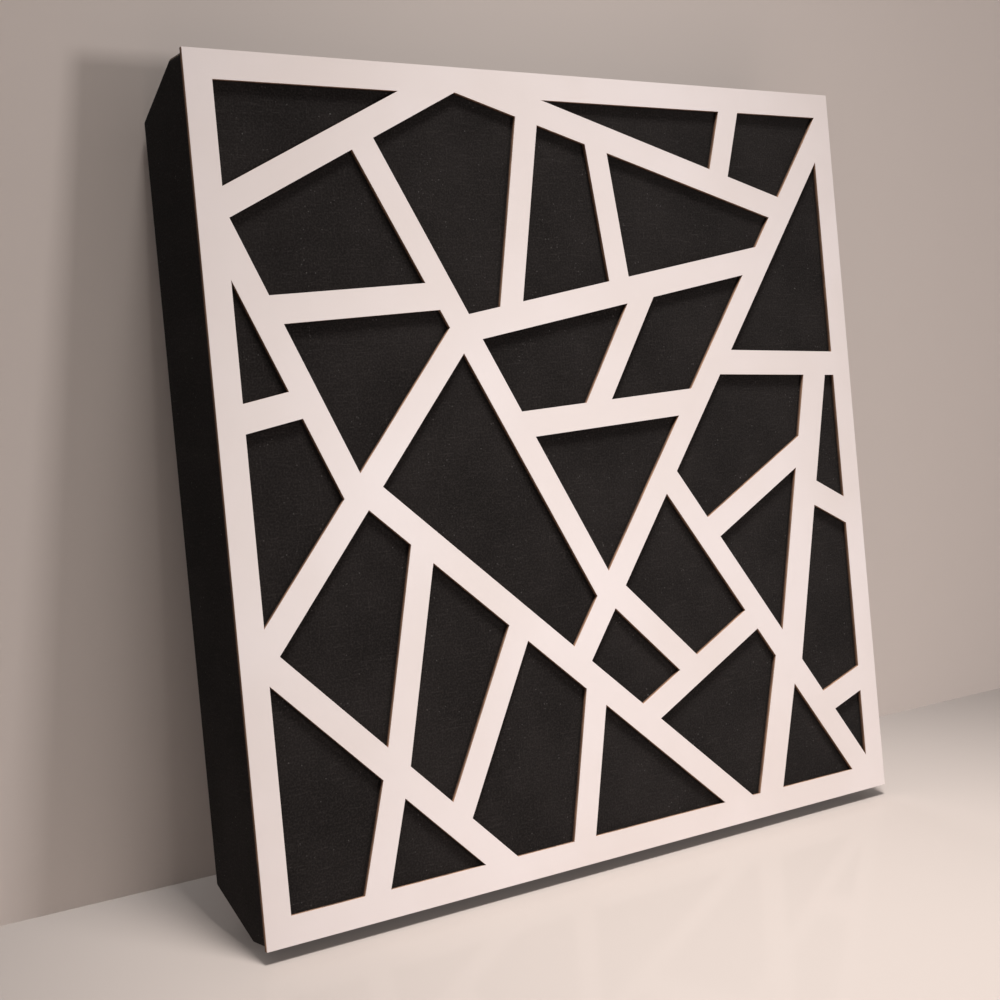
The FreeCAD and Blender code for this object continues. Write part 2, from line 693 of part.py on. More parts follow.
def rear_scrim():
    """The thin cloth over the open back, with its cut-outs for the hangers."""
    body = new_body("rear_scrim")
    half_width = "(%s - sheet.scrim_inset)" % FRAME_HALF_WIDTH
    half_height = "(%s - sheet.scrim_inset)" % REAR_HALF_HEIGHT
    outline = sketch_on(body, "XZ_Plane", "outline")
    rectangle(outline, "-" + half_width, half_width, "-" + half_height, half_height)
    pad(body, outline, "sheet.scrim_thickness")
    cuts = sketch_on(body, "XZ_Plane", "cuts")
    for side in ("-", ""):
        hanger_recess(cuts, side + HANGER_X)
    for across in plate_screw_places():
        circle(cuts, across, PLATE_Z, "sheet.plate_screw_head + sheet.screw_clearance")
    pocket(body, cuts)
    legs = sketch_on(body, "XZ_Plane", "legs")
    all_leg_holes(legs)
    pocket(body, legs)
    place(body, "0", SCRIM_Y, "0")
    return body


def keyhole_sketch(body):
    """A round hole at the foot of a narrow upright slot, as one outline."""
    sketch = sketch_on(body, "XZ_Plane", "keyhole")
    radius = value("sheet.keyhole_radius")
    half = value("sheet.slot_radius")
    low = -value("sheet.keyhole_travel") / 2
    top = -low
    join = low + math.sqrt(radius ** 2 - half ** 2)
    turn = math.acos(half / radius)
    normal = FreeCAD.Vector(0, 0, 1)
    big = Part.Circle(FreeCAD.Vector(0, low, 0), normal, radius)
    small = Part.Circle(FreeCAD.Vector(0, top, 0), normal, half)
    mouth = sketch.addGeometry(Part.ArcOfCircle(big, math.pi - turn, 2 * math.pi + turn), False)
    right = sketch.addGeometry(
        Part.LineSegment(FreeCAD.Vector(half, join, 0), FreeCAD.Vector(half, top, 0)), False
    )
    crown = sketch.addGeometry(Part.ArcOfCircle(small, 0, math.pi), False)
    left = sketch.addGeometry(
        Part.LineSegment(FreeCAD.Vector(-half, top, 0), FreeCAD.Vector(-half, join, 0)), False
    )
    sketch.addConstraint(Sketcher.Constraint("Coincident", mouth, 2, right, 1))
    sketch.addConstraint(Sketcher.Constraint("Tangent", right, 2, crown, 1))
    sketch.addConstraint(Sketcher.Constraint("Tangent", crown, 2, left, 1))
    sketch.addConstraint(Sketcher.Constraint("Coincident", left, 2, mouth, 1))
    sketch.addConstraint(Sketcher.Constraint("Vertical", right))
    pin_point(sketch, mouth, 3, "0", "-sheet.keyhole_travel / 2")
    pin_point(sketch, crown, 3, "0", "sheet.keyhole_travel / 2")
    for index, radius_name in ((mouth, "sheet.keyhole_radius"), (crown, "sheet.slot_radius")):
        number = sketch.addConstraint(Sketcher.Constraint("Radius", index, value(radius_name)))
        name = "radius_%d" % index
        sketch.renameConstraint(number, name)
        sketch.setExpression("Constraints." + name, radius_name)
    return sketch


def hanger_plate(label, side):
    """A keyhole plate. Its outer face is on the local XZ plane and is turned to the wall."""
    body = new_body(label)
    outline = sketch_on(body, "XZ_Plane", "outline")
    half_width = "(sheet.plate_width / 2)"
    half_height = "(sheet.plate_height / 2)"
    rectangle(outline, "-" + half_width, half_width, "-" + half_height, half_height)
    blank = pad(body, outline, "sheet.plate_thickness")
    keyhole = keyhole_sketch(body)
    pocket(body, keyhole)
    screws = sketch_on(body, "XZ_Plane", "screws")
    for across in ("-" + PLATE_SCREW_X, PLATE_SCREW_X):
        circle(screws, across, "0", "sheet.plate_screw_radius")
    hole = countersunk_hole(body, screws, "sheet.plate_screw_radius", "sheet.plate_screw_head")
    doc.recompute()
    corner_edges = upright_corner_edges(hole.Shape, blank.Shape.BoundBox)
    rounded = body.newObject("PartDesign::Fillet", label + "_corners")
    rounded.Base = (hole, corner_edges)
    rounded.setExpression("Radius", "sheet.plate_corner")
    across = "-" + HANGER_X if side < 0 else HANGER_X
    place(body, across, "%s + sheet.plate_thickness" % BACK_Y, PLATE_Z, ABOUT_Z)
    return body


SAME_PLACE = 1e-6


def upright_corner_edges(shape, box):
    """Names of the four edges through the plate's thickness at its outer corners."""
    names = []
    for number, edge in enumerate(shape.Edges, start=1):
        middle = edge.BoundBox
        across = abs(abs(middle.Center.x) - box.XMax) < SAME_PLACE
        upright = abs(abs(middle.Center.z) - box.ZMax) < SAME_PLACE
        if across and upright:
            names.append("Edge%d" % number)
    return names


def bumper(label, across_side, up_side):
    """A round rubber pad with a softened rim, stuck on the rear over a rear rail."""
    body = new_body(label)
    profile = sketch_on(body, "XY_Plane", "profile")
    rim = "(sheet.bumper_radius - sheet.bumper_dome)"
    shoulder = "(sheet.bumper_thickness - sheet.bumper_dome)"
    polygon(profile, [
        ("0", "0"), ("sheet.bumper_radius", "0"), ("sheet.bumper_radius", shoulder),
        (rim, "sheet.bumper_thickness"), ("0", "sheet.bumper_thickness"),
    ])
    turned = body.newObject("PartDesign::Revolution", label + "_turned")
    turned.Profile = profile
    axis = [item for item in body.Origin.OriginFeatures if item.Role == "Y_Axis"][0]
    turned.ReferenceAxis = (axis, [""])
    turned.Angle = 360
    across = "(%s - sheet.bumper_inset)" % FRAME_HALF_WIDTH
    up = "(%s - sheet.bumper_inset)" % REAR_HALF_HEIGHT
    signs = ("-" if across_side < 0 else "", "-" if up_side < 0 else "")
    place(body, signs[0] + across, BACK_Y, signs[1] + up)
    return body


# Fasteners: like pieces grouped under one name
def row_point(across, depth, up):
    """A point in the row frame, from the panel's centre."""
    return FreeCAD.Vector(across, depth, up + value(HALF_HEIGHT))


def countersunk_screw(radius, head, length, tip, direction):
    """A countersunk screw. Its head's flat face is at the tip point, which it leaves."""
    head_height = head - radius
    point_height = radius * 1.5
    half_section = Part.makePolygon([
        FreeCAD.Vector(0, 0, 0),
        FreeCAD.Vector(head, 0, 0),
        FreeCAD.Vector(radius, 0, head_height),
        FreeCAD.Vector(radius, 0, length - point_height),
        FreeCAD.Vector(0, 0, length),
        FreeCAD.Vector(0, 0, 0),
    ])
    screw = Part.Face(half_section).revolve(FreeCAD.Vector(0, 0, 0), FreeCAD.Vector(0, 0, 1), 360)
    turn = FreeCAD.Rotation(FreeCAD.Vector(0, 0, 1), direction)
    screw.Placement = FreeCAD.Placement(tip, turn)
    return screw


def fastener_group(label, solids):
    group = doc.addObject("Part::Feature", label)
    group.Label = label
    group.Shape = Part.makeCompound(solids)
    return group


def frame_screws():
    """Screws through both side boards into the rail ends."""
    radius = value("sheet.frame_screw_radius")
    head = value("sheet.frame_screw_head")
    length = value("sheet.frame_screw_length")
    outer = value(FRAME_HALF_WIDTH)
    front = value(FRAME_Y)
    screws = []
    for side in (-1, 1):
        for depth, height in all_screw_points():
            tip = row_point(side * outer, front + value(depth), value(height))
            inwards = FreeCAD.Vector(-side, 0, 0)
            screws.append(countersunk_screw(radius, head, length, tip, inwards))
    return fastener_group("frame_screws", screws)


def hanger_screws():
    """Screws through the keyhole plates into the top rear rail."""
    radius = value("sheet.plate_screw_radius")
    head = value("sheet.plate_screw_head")
    length = value("sheet.plate_screw_length")
    depth = value("%s + sheet.plate_thickness" % BACK_Y)
    screws = []
    for across in plate_screw_places():
        tip = row_point(value(across), depth, value(PLATE_Z))
        screws.append(countersunk_screw(radius, head, length, tip, FreeCAD.Vector(0, -1, 0)))
    return fastener_group("hanger_screws", screws)


def staple(across, up, upright):
    """A wire staple: a crown on the scrim and two legs into the timber."""
    wire = value("sheet.staple_wire")
    crown = value("sheet.staple_crown")
    leg = value("sheet.staple_leg")
    bridge = Part.makeBox(crown, wire, wire, FreeCAD.Vector(-crown / 2, 0, -wire / 2))
    legs = [
        Part.makeBox(wire, leg, wire, FreeCAD.Vector(x, -leg, -wire / 2))
        for x in (-crown / 2, crown / 2 - wire)
    ]
    shape = bridge.fuse(legs).removeSplitter()
    if upright:
        shape.rotate(FreeCAD.Vector(0, 0, 0), FreeCAD.Vector(0, 1, 0), 90)
    shape.translate(row_point(across, value(BACK_Y), up))
    return shape.Solids[0]


def scrim_staples():
    """Staples all round the back, through the scrim and the hem."""
    staples = [staple(across, up, upright) for across, up, upright in staple_places()]
    return fastener_group("scrim_staples", staples)


subparts.append(lattice_panel())
subparts.extend(tape_strips())
subparts.append(fabric_cover())
subparts.append(side_board("side_board_left", -1))
subparts.append(side_board("side_board_right", 1))
subparts.append(front_rail("front_rail_top", None))
subparts.append(front_rail("front_rail_bottom", ABOUT_Y))
subparts.append(rear_rail("rear_rail_top", None, True))
subparts.append(rear_rail("rear_rail_bottom", ABOUT_Y, False))
subparts.append(centre_batten())
subparts.append(absorber_slab())
subparts.append(rear_scrim())
subparts.append(hanger_plate("hanger_plate_left", -1))
subparts.append(hanger_plate("hanger_plate_right", 1))
for up_name, up_side in (("top", 1), ("bottom", -1)):
    for across_name, across_side in (("left", -1), ("right", 1)):
        subparts.append(bumper("bumper_%s_%s" % (up_name, across_name), across_side, up_side))
subparts.append(frame_screws())
subparts.append(hanger_screws())
subparts.append(scrim_staples())

doc.recompute()
for item in doc.Objects:
    if "Invalid" in item.State or "Error" in item.State:
        raise RuntimeError("%s did not build: %s" % (item.Label, item.State))
for item in subparts:
    if item.Shape.isNull() or not item.Shape.isValid():
        raise RuntimeError("%s has no valid shape" % item.Label)

os.makedirs("parts", exist_ok=True)
for item in subparts:
    item.Shape.exportStep("parts/%s.step" % item.Label)
    litres = item.Shape.Volume / 1e6
    print("%-20s %3d solids %9.6f litres" % (item.Label, len(item.Shape.Solids), litres))
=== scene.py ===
# %% [markdown]
# # Acoustic diffuser panel
# A white board, cut through into a lattice of straight bars, is bonded to the front of a shallow
# box. The box is wrapped in black cloth and filled with mineral wool, and its rear top and bottom
# corners are bevelled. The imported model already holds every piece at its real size. This file
# gives those pieces their finishes, and makes the soft ones, which a solid can't show: the cloth,
# the scrim over the back and the wool slab. It also puts a cross recess in the hanger screws.

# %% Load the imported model
import math

import bpy
import numpy as np
from mathutils import Matrix, Vector


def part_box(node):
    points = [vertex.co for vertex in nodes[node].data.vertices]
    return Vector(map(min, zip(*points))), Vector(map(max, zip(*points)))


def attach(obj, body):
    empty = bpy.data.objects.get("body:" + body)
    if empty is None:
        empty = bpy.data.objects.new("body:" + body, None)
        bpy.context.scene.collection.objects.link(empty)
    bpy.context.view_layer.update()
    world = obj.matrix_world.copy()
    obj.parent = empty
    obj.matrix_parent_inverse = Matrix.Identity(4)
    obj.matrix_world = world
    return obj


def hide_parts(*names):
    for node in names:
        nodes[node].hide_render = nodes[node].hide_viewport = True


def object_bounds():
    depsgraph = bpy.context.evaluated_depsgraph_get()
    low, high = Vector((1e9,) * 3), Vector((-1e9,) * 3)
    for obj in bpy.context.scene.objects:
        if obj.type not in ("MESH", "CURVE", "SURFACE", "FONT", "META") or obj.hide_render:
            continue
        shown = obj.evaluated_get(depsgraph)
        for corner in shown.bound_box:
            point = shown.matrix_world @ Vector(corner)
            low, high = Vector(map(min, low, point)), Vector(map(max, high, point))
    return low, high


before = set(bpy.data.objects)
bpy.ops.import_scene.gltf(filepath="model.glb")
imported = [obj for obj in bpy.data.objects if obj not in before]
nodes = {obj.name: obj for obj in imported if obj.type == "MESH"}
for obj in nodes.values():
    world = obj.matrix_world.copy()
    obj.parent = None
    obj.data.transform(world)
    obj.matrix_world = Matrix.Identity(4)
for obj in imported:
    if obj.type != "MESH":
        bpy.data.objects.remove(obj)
model_low, model_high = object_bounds()
print("model box, low and high:", tuple(model_low), tuple(model_high))

# %% [markdown]
# ## Reading sizes from the frame
# Nothing is typed twice. A cloth piece has to lie exactly on the box, so its edges are read from
# the corner points of the solid that it replaces.

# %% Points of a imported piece
MM = 0.001


def node_points(name):
    """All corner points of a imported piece, one row of x, y, z each, in metres."""
    mesh = nodes[name].data
    flat = np.empty(3 * len(mesh.vertices))
    mesh.vertices.foreach_get("co", flat)
    return flat.reshape(-1, 3)


# %% The wrapped box
cover_low, cover_high = [np.array(corner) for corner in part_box("fabric_cover")]
packed_cover = node_points("fabric_cover")
MIDDLE_Z = (cover_low[2] + cover_high[2]) / 2
HALF_WIDTH = cover_high[0]
HALF_HEIGHT = cover_high[2] - MIDDLE_Z
FRONT_Y = cover_low[1]
REAR_Y = cover_high[1]
ON_PLANE = 0.05 * MM
rear_points = packed_cover[packed_cover[:, 1] > REAR_Y - ON_PLANE]
top_points = packed_cover[packed_cover[:, 2] > cover_high[2] - ON_PLANE]
REAR_HALF_HEIGHT = rear_points[:, 2].max() - MIDDLE_Z
BEVEL_Y = top_points[:, 1].max()
print("cloth front, bevel and rear at y:", FRONT_Y, BEVEL_Y, REAR_Y)
print("half height at the rear:", REAR_HALF_HEIGHT)

# %% [markdown]
# ## Camera
# The four corners of the board in the picture fix the camera. Its place is given from the panel,
# because the panel stays in its own frame. In the picture the panel leans back against a wall, so
# the room is tilted instead: its upright direction leans forward by the same angle.

# %% Camera from the picture's perspective
LEAN = math.radians(9.04)
FOCAL_PIXELS = 1634.6
PICTURE_PIXELS = 1000
SENSOR_MM = 36
CAMERA_PLACE = Vector((-0.7658, -1.0274, 0.3097))
AIM = Vector((-0.0797, -0.0393, 0.2823))
room_across = Vector((1, 0, 0))
room_up = Vector((0, -math.sin(LEAN), math.cos(LEAN)))
room_back = Vector((0, math.cos(LEAN), math.sin(LEAN)))


def facing(forward, up):
    """Turn that points a camera's or a lamp's own -Z along forward, with its Y as near up as it can be."""
    back = -forward.normalized()
    right = up.cross(back).normalized()
    upright = back.cross(right)
    return Matrix((right, upright, back)).transposed()


def look_at(thing, place, target):
    """Put a camera or a lamp at a place and point it at a target, level in the tilted room."""
    turn = facing(target - place, room_up).to_4x4()
    thing.matrix_world = Matrix.Translation(place) @ turn


camera_data = bpy.data.cameras.new("camera")
camera_data.sensor_width = SENSOR_MM
camera_data.lens = FOCAL_PIXELS * SENSOR_MM / PICTURE_PIXELS
camera = bpy.data.objects.new("camera", camera_data)
bpy.context.scene.collection.objects.link(camera)
look_at(camera, CAMERA_PLACE, AIM)
bpy.context.scene.camera = camera
print("lens in mm:", round(camera_data.lens, 2))

# %% [markdown]
# ## Making meshes from arrays
# Every new piece is a grid of points worked out as one array. One helper numbers the faces between
# neighbouring rows of points, one fills the mesh data, and one gives a sheet its thickness.

# %% Mesh helpers


def strip_faces(rows, closed):
    """Four-cornered faces between each row of point numbers and the next. Closed rows run round."""
    near, far = rows[:-1], rows[1:]
    next_near = np.roll(near, -1, axis=1)
    next_far = np.roll(far, -1, axis=1)
    faces = np.stack([near, next_near, next_far, far], axis=-1)
    if not closed:
        faces = faces[:, :-1]
    return faces.reshape(-1, 4)


def make_piece(name, points, faces, corner_uv=None, smooth=True):
    """A mesh object from an array of points, an array of four-cornered faces and a UV per face corner."""
    mesh = bpy.data.meshes.new(name)
    mesh.vertices.add(len(points))
    mesh.vertices.foreach_set("co", np.ascontiguousarray(points, dtype=np.float32).ravel())
    mesh.loops.add(faces.size)
    mesh.loops.foreach_set("vertex_index", np.ascontiguousarray(faces, dtype=np.int32).ravel())
    mesh.polygons.add(len(faces))
    mesh.polygons.foreach_set("loop_start", np.arange(0, faces.size, 4, dtype=np.int32))
    mesh.polygons.foreach_set("use_smooth", np.full(len(faces), smooth))
    if corner_uv is not None:
        layer = mesh.uv_layers.new(name="cloth")
        layer.data.foreach_set("uv", np.ascontiguousarray(corner_uv, dtype=np.float32).ravel())
    mesh.update(calc_edges=True)
    mesh.validate()
    piece = bpy.data.objects.new(name, mesh)
    bpy.context.scene.collection.objects.link(piece)
    print(name, "points", len(points), "faces", len(faces))
    return piece


def thicken(sheet, thickness):
    """Give a sheet its thickness, inwards from its points."""
    wall = sheet.modifiers.new("thickness", "SOLIDIFY")
    wall.thickness = thickness
    wall.offset = -1


def smooth_step(value, low, high):
    """0 below low, 1 above high, and the S-shaped 3t^2 - 2t^3 between."""
    share = np.clip((value - low) / (high - low), 0, 1)
    return share * share * (3 - 2 * share)


# %% [markdown]
# ## A rounded rectangle as a grid
# The cloth starts as a flat square on the front and folds back over four edges. The same grid
# lines serve the front and every ring behind it, so the whole wrap has no seam and no pole. Each
# grid line is given by two numbers: how far along the straight part it is, and how far into the
# rounded corner. A corner's square of grid cells is pulled in to a quarter circle by moving each
# point towards the corner's centre until its distance equals the larger of its two coordinates.

# %% Grid lines along one side
FOLD_ZONE = 0.27
FOLD_LINES = 26
OPEN_LINES = 34
ROUND_LINES = 4
fold_share = 1 - np.linspace(FOLD_ZONE, 0, FOLD_LINES)
open_share = np.linspace(-(1 - FOLD_ZONE), 1 - FOLD_ZONE, OPEN_LINES)[1:-1]
straight = np.concatenate([-fold_share[::-1], open_share, fold_share])
rounding = np.linspace(0, 1, ROUND_LINES + 1)[1:]
line_straight = np.concatenate([-np.ones(ROUND_LINES), straight, np.ones(ROUND_LINES)])
line_rounding = np.concatenate([-rounding[::-1], np.zeros(len(straight)), rounding])
LINES = len(line_straight)


def sheet_points(half_width, half_height, y, radius):
    """A rectangle with round corners at one depth, as a row of x, y, z for each point of its grid.

    Along each axis a point is at straight * (half - radius) + rounding * radius. Where both roundings
    are set, they are scaled by the larger of the two over their length, which turns a square corner
    into a quarter circle.
    """
    run_x, run_z = np.meshgrid(line_straight, line_straight, indexing="xy")
    turn_x, turn_z = np.meshgrid(line_rounding, line_rounding, indexing="xy")
    length = np.hypot(turn_x, turn_z)
    larger = np.maximum(np.abs(turn_x), np.abs(turn_z))
    pull = np.divide(larger, length, out=np.ones_like(length), where=length > 0)
    x = run_x * (half_width - radius) + turn_x * pull * radius
    z = run_z * (half_height - radius) + turn_z * pull * radius
    return np.stack([x, np.full_like(x, y), z], axis=-1).reshape(-1, 3)


# The grid's outline in order: along the bottom, up the right, back along the top, down the left
numbers = np.arange(LINES * LINES).reshape(LINES, LINES)
outline = np.concatenate([
    numbers[0, :-1], numbers[:-1, -1], numbers[-1, :0:-1], numbers[:0:-1, 0],
])
SECTOR = np.repeat(["bottom", "right", "top", "left"], LINES - 1)
front_faces = strip_faces(numbers, closed=False)
print("grid lines along a side:", LINES, "points round the outline:", len(outline))

# %% [markdown]
# ## The cloth cover
# On the real panel a square of cloth is laid face down, the box is put on it, and the cloth is
# pulled tight and turned over on to the back. The spare cloth at each corner is folded flat under
# the top and bottom runs, where it makes a second layer up to a fold line at 45 degrees. Rings of
# points follow the section of the box: round the front edge, straight back, down the bevel, round
# the rear edge and on to the hem.

# %% Rings of the cover
EDGE_ROUND = 1.5 * MM
CORNER_ROUND = 3 * MM
HEM_CORNER_ROUND = 0.5 * MM
HEM_WIDTH = 16 * MM
RUN_STEPS = 10
BEVEL_STEPS = 22
HEM_STEPS = 6
EDGE_STEPS = 4


def section_half_height(depth_y):
    """Half height of the wrap at a depth: level to the bevel, then a straight slope to the rear."""
    share = np.clip((depth_y - BEVEL_Y) / (REAR_Y - BEVEL_Y), 0, 1)
    return HALF_HEIGHT + (REAR_HALF_HEIGHT - HALF_HEIGHT) * share


def cover_profile():
    """Rows of half width, half height, depth and corner radius, from the front edge to the hem.

    The front and rear edges are quarter circles: the inset is radius * (1 - sine or cosine) of an
    angle that goes from 0 to 90 degrees. Between them the depth grows evenly, and the hem moves in.
    """
    angle = np.linspace(0, math.pi / 2, EDGE_STEPS + 1)
    inset_front = EDGE_ROUND * (1 - np.sin(angle))
    y_front = FRONT_Y + EDGE_ROUND * (1 - np.cos(angle))
    y_run = np.linspace(FRONT_Y + EDGE_ROUND, BEVEL_Y, RUN_STEPS + 1)[1:]
    y_bevel = np.linspace(BEVEL_Y, REAR_Y - EDGE_ROUND, BEVEL_STEPS + 1)[1:]
    y_rear = REAR_Y - EDGE_ROUND + EDGE_ROUND * np.sin(angle[1:])
    inset_rear = EDGE_ROUND * (1 - np.cos(angle[1:]))
    inset_hem = np.linspace(EDGE_ROUND, HEM_WIDTH, HEM_STEPS + 1)[1:]
    y = np.concatenate([y_front, y_run, y_bevel, y_rear, np.full(HEM_STEPS, REAR_Y)])
    straight_rows = np.zeros(RUN_STEPS + BEVEL_STEPS)
    inset = np.concatenate([inset_front, straight_rows, inset_rear, inset_hem])
    radius = np.maximum(CORNER_ROUND - inset, HEM_CORNER_ROUND)
    return np.stack([HALF_WIDTH - inset, section_half_height(y) - inset, y, radius], axis=-1)


cover_sizes = cover_profile()
cover_half_width, cover_half_height, cover_y = cover_sizes[:, :3].T
RINGS = len(cover_sizes)
cover_rings = np.array([sheet_points(*sizes)[outline] for sizes in cover_sizes])


def travel(half_size):
    """Distance that the cloth has run from the front edge to each ring, from one half size."""
    steps = np.hypot(np.diff(half_size), np.diff(cover_y))
    return np.concatenate([[0], np.cumsum(steps)])


side_travel = travel(cover_half_width)
rail_travel = travel(cover_half_height)
print("cloth behind the front edge, at the sides, in mm:", side_travel[-1] / MM)
print("cloth behind the front edge, over the bevels, in mm:", rail_travel[-1] / MM)

# %% [markdown]
# The second layer at the corners lifts the cloth by its own thickness. Its edge is the 45 degree
# fold line: a point is under the fold where it is nearer to the corner than it is to the front
# edge. The lift follows the surface's own normal, which is the cross product of the differences
# between neighbouring points along and across the rings.

# %% Fold at the corners
CLOTH_THICKNESS = 0.7 * MM
FOLD_SOFTNESS = 3 * MM


def grid_normals(grid):
    """Unit outward normals of a grid of rings: differences across the rings times those along."""
    along = np.roll(grid, -1, axis=1) - np.roll(grid, 1, axis=1)
    across = np.gradient(grid, axis=0)
    normal = np.cross(across, along)
    return normal / np.linalg.norm(normal, axis=-1, keepdims=True)


on_rails = np.isin(SECTOR, ["top", "bottom"])
from_corner = HALF_WIDTH - np.abs(cover_rings[:, :, 0])
under_fold = smooth_step(rail_travel[:, None] - from_corner, 0, FOLD_SOFTNESS)
past_round = smooth_step(from_corner, 0, CORNER_ROUND)
before_hem = 1 - smooth_step(cover_y, REAR_Y - EDGE_ROUND, REAR_Y)
lift = CLOTH_THICKNESS * under_fold * past_round * on_rails * before_hem[:, None]
cover_rings += grid_normals(cover_rings) * lift[:, :, None]
print("largest lift at the corner folds in mm:", lift.max() / MM)

# %% [markdown]
# The front of the cloth is nearly flat. Over the wool it follows the slab's slight unevenness, as a
# sum of a few long sine waves, and only inwards. Over the timber border it lies flat, so it fades
# out there. The mesh is then one list of points: the front grid, and the rings behind it. Each face
# corner also gets its place in the flat cloth, in metres, so that the weave runs true over the
# folds.

# %% Front of the cover and its mesh
FLAT_BORDER = 22 * MM
FULL_WAVE_FROM = 66 * MM
FRONT_WAVE = 0.12 * MM
# Each wave's rate along x, its rate along z, and the angle it starts at
WAVES = ((31.0, 7.0, 0.4), (-12.0, 27.0, 1.9), (19.0, -41.0, 4.1))


def front_dip(x, z):
    """How far the front lies back: the mean of sines of slanted distances, each between 0 and 1."""
    total = sum(0.5 + 0.5 * np.sin(rate_x * x + rate_z * z + start) for rate_x, rate_z, start in WAVES)
    inside = np.minimum(HALF_WIDTH - np.abs(x), HALF_HEIGHT - np.abs(z))
    return FRONT_WAVE * total / len(WAVES) * smooth_step(inside, FLAT_BORDER, FULL_WAVE_FROM)


front_points = sheet_points(*cover_sizes[0])
front_points[:, 1] += front_dip(front_points[:, 0], front_points[:, 2])
cover_points = np.concatenate([front_points, cover_rings[1:].reshape(-1, 3)])
ring_numbers = LINES * LINES + np.arange((RINGS - 1) * len(outline)).reshape(RINGS - 1, -1)
ring_numbers = np.concatenate([outline[None, :], ring_numbers])
side_faces = strip_faces(ring_numbers, closed=True)[:, ::-1]


def flat_cloth_places():
    """Place in the flat cloth of each face corner: x and z, pushed out by the cloth's travel.

    On the front it is x and z themselves. Behind the front edge, the coordinate that points away
    from the middle gains what the cloth has travelled beyond what x or z shows. The four corners
    of a side face lie on the ring behind, the same again, the ring before, and the same again.
    """
    front_uv = front_points[front_faces][:, :, [0, 2]]
    sector = np.tile(SECTOR, RINGS - 1)
    ring_of_face = np.repeat(np.arange(RINGS - 1), len(outline))
    row_of_corner = ring_of_face[:, None] + np.array([1, 1, 0, 0])
    column = np.tile(np.arange(len(outline)), RINGS - 1)
    column_of_corner = (column[:, None] + np.array([0, 1, 1, 0])) % len(outline)
    places = cover_rings[row_of_corner, column_of_corner][:, :, [0, 2]]
    push_x = side_travel[row_of_corner] - (cover_half_width[row_of_corner] - cover_half_width[0])
    push_z = rail_travel[row_of_corner] - (cover_half_height[row_of_corner] - cover_half_height[0])
    to_right = (sector == "right") * 1.0 - (sector == "left") * 1.0
    upwards = (sector == "top") * 1.0 - (sector == "bottom") * 1.0
    places[:, :, 0] += push_x * to_right[:, None]
    places[:, :, 1] += push_z * upwards[:, None]
    return np.concatenate([front_uv, places])


cover_uv = flat_cloth_places()
cover_points[:, 2] += MIDDLE_Z
cover_faces = np.concatenate([front_faces, side_faces])
cloth_cover = make_piece("cloth_cover", cover_points, cover_faces, cover_uv)
thicken(cloth_cover, CLOTH_THICKNESS)
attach(cloth_cover, "root")
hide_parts("fabric_cover")

# %% [markdown]
# ## The scrim over the back
# A thin felted cloth closes the open back. It is stapled all round, so it is flat at the staples
# and stands up a little between them, and it sags into the open bays between the boards. Its two
# knife cuts let the wall screws pass. The sheet is a grid whose lines include the edges of those
# cuts, and the cells inside a cut are left out.

# %% Bays, fittings and cuts of the back
scrim_low, scrim_high = [np.array(corner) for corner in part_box("rear_scrim")]
SCRIM_Y = scrim_high[1]
SCRIM_THICKNESS = 0.3 * MM
bay_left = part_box("side_board_left")[1].x
bay_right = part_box("side_board_right")[0].x
batten_low, batten_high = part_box("centre_batten")
rail_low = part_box("rear_rail_bottom")[1].z
rail_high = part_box("rear_rail_top")[0].z
BAYS = ((rail_low, batten_low.z), (batten_high.z, rail_high))
FITTINGS = [name for name in nodes if name.startswith(("bumper_", "hanger_plate_"))]
CUT_HALF_WIDTH = 6 * MM
CUT_HALF_HEIGHT = 10.5 * MM
plate_boxes = [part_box(name) for name in nodes if name.startswith("hanger_plate_")]
cuts = [((low.x + high.x) / 2, (low.z + high.z) / 2) for low, high in plate_boxes]
print("bays from", BAYS, "cuts at", cuts)

# %% Shape of the scrim
BAY_SAG = 2.2 * MM
STAPLE_PUCKER = 0.35 * MM
PUCKER_REACH = 22 * MM
# The scrim is held flat this near to a fitting, and free from the second distance
HELD_WITHIN = 1 * MM
FREE_FROM = 10 * MM
# The knife-cut edge strays this far, and the stray fades over this width
EDGE_WANDER = 0.5 * MM
EDGE_ZONE = 12 * MM
# Rates of each pair of edges' stray: of the wave, and the size and rate of what bends it
UPRIGHT_WANDER = (47, 13, 9)
LEVEL_WANDER = (53, 11, 7)
SCRIM_LINES = 150
LEAST_GAP = 1.2 * MM
ROOT_GUARD = 1e-12
STAPLE_CROWN = 10 * MM
LEVEL_STAPLES = 8
UPRIGHT_STAPLES = 7
staple_points = node_points("scrim_staples")
level_staples = staple_points[staple_points[:, 2] > staple_points[:, 2].max() - ON_PLANE]
upright_staples = staple_points[staple_points[:, 0] > staple_points[:, 0].max() - ON_PLANE]
pitch_x = (np.ptp(level_staples[:, 0]) - STAPLE_CROWN) / (LEVEL_STAPLES - 1)
pitch_z = (np.ptp(upright_staples[:, 2]) - STAPLE_CROWN) / (UPRIGHT_STAPLES - 1)
print("staple pitch along the rails and sides in mm:", pitch_x / MM, pitch_z / MM)


def lines_with(low, high, count, extra):
    """Even lines from low to high, with the extra ones added and lines close to those dropped."""
    even = np.linspace(low, high, count)
    clear = np.all(np.abs(even[:, None] - np.array(extra)[None, :]) > LEAST_GAP, axis=1)
    return np.sort(np.concatenate([even[clear], extra]))


def sag(x, z):
    """Depth of the sag: in each bay, the product of two half sine waves, flattened by a square root."""
    depth = np.zeros_like(x)
    across = np.clip((x - bay_left) / (bay_right - bay_left), 0, 1)
    for low, high in BAYS:
        up = np.clip((z - low) / (high - low), 0, 1)
        depth += np.sqrt(np.sin(math.pi * across) * np.sin(math.pi * up) + ROOT_GUARD)
    return BAY_SAG * depth


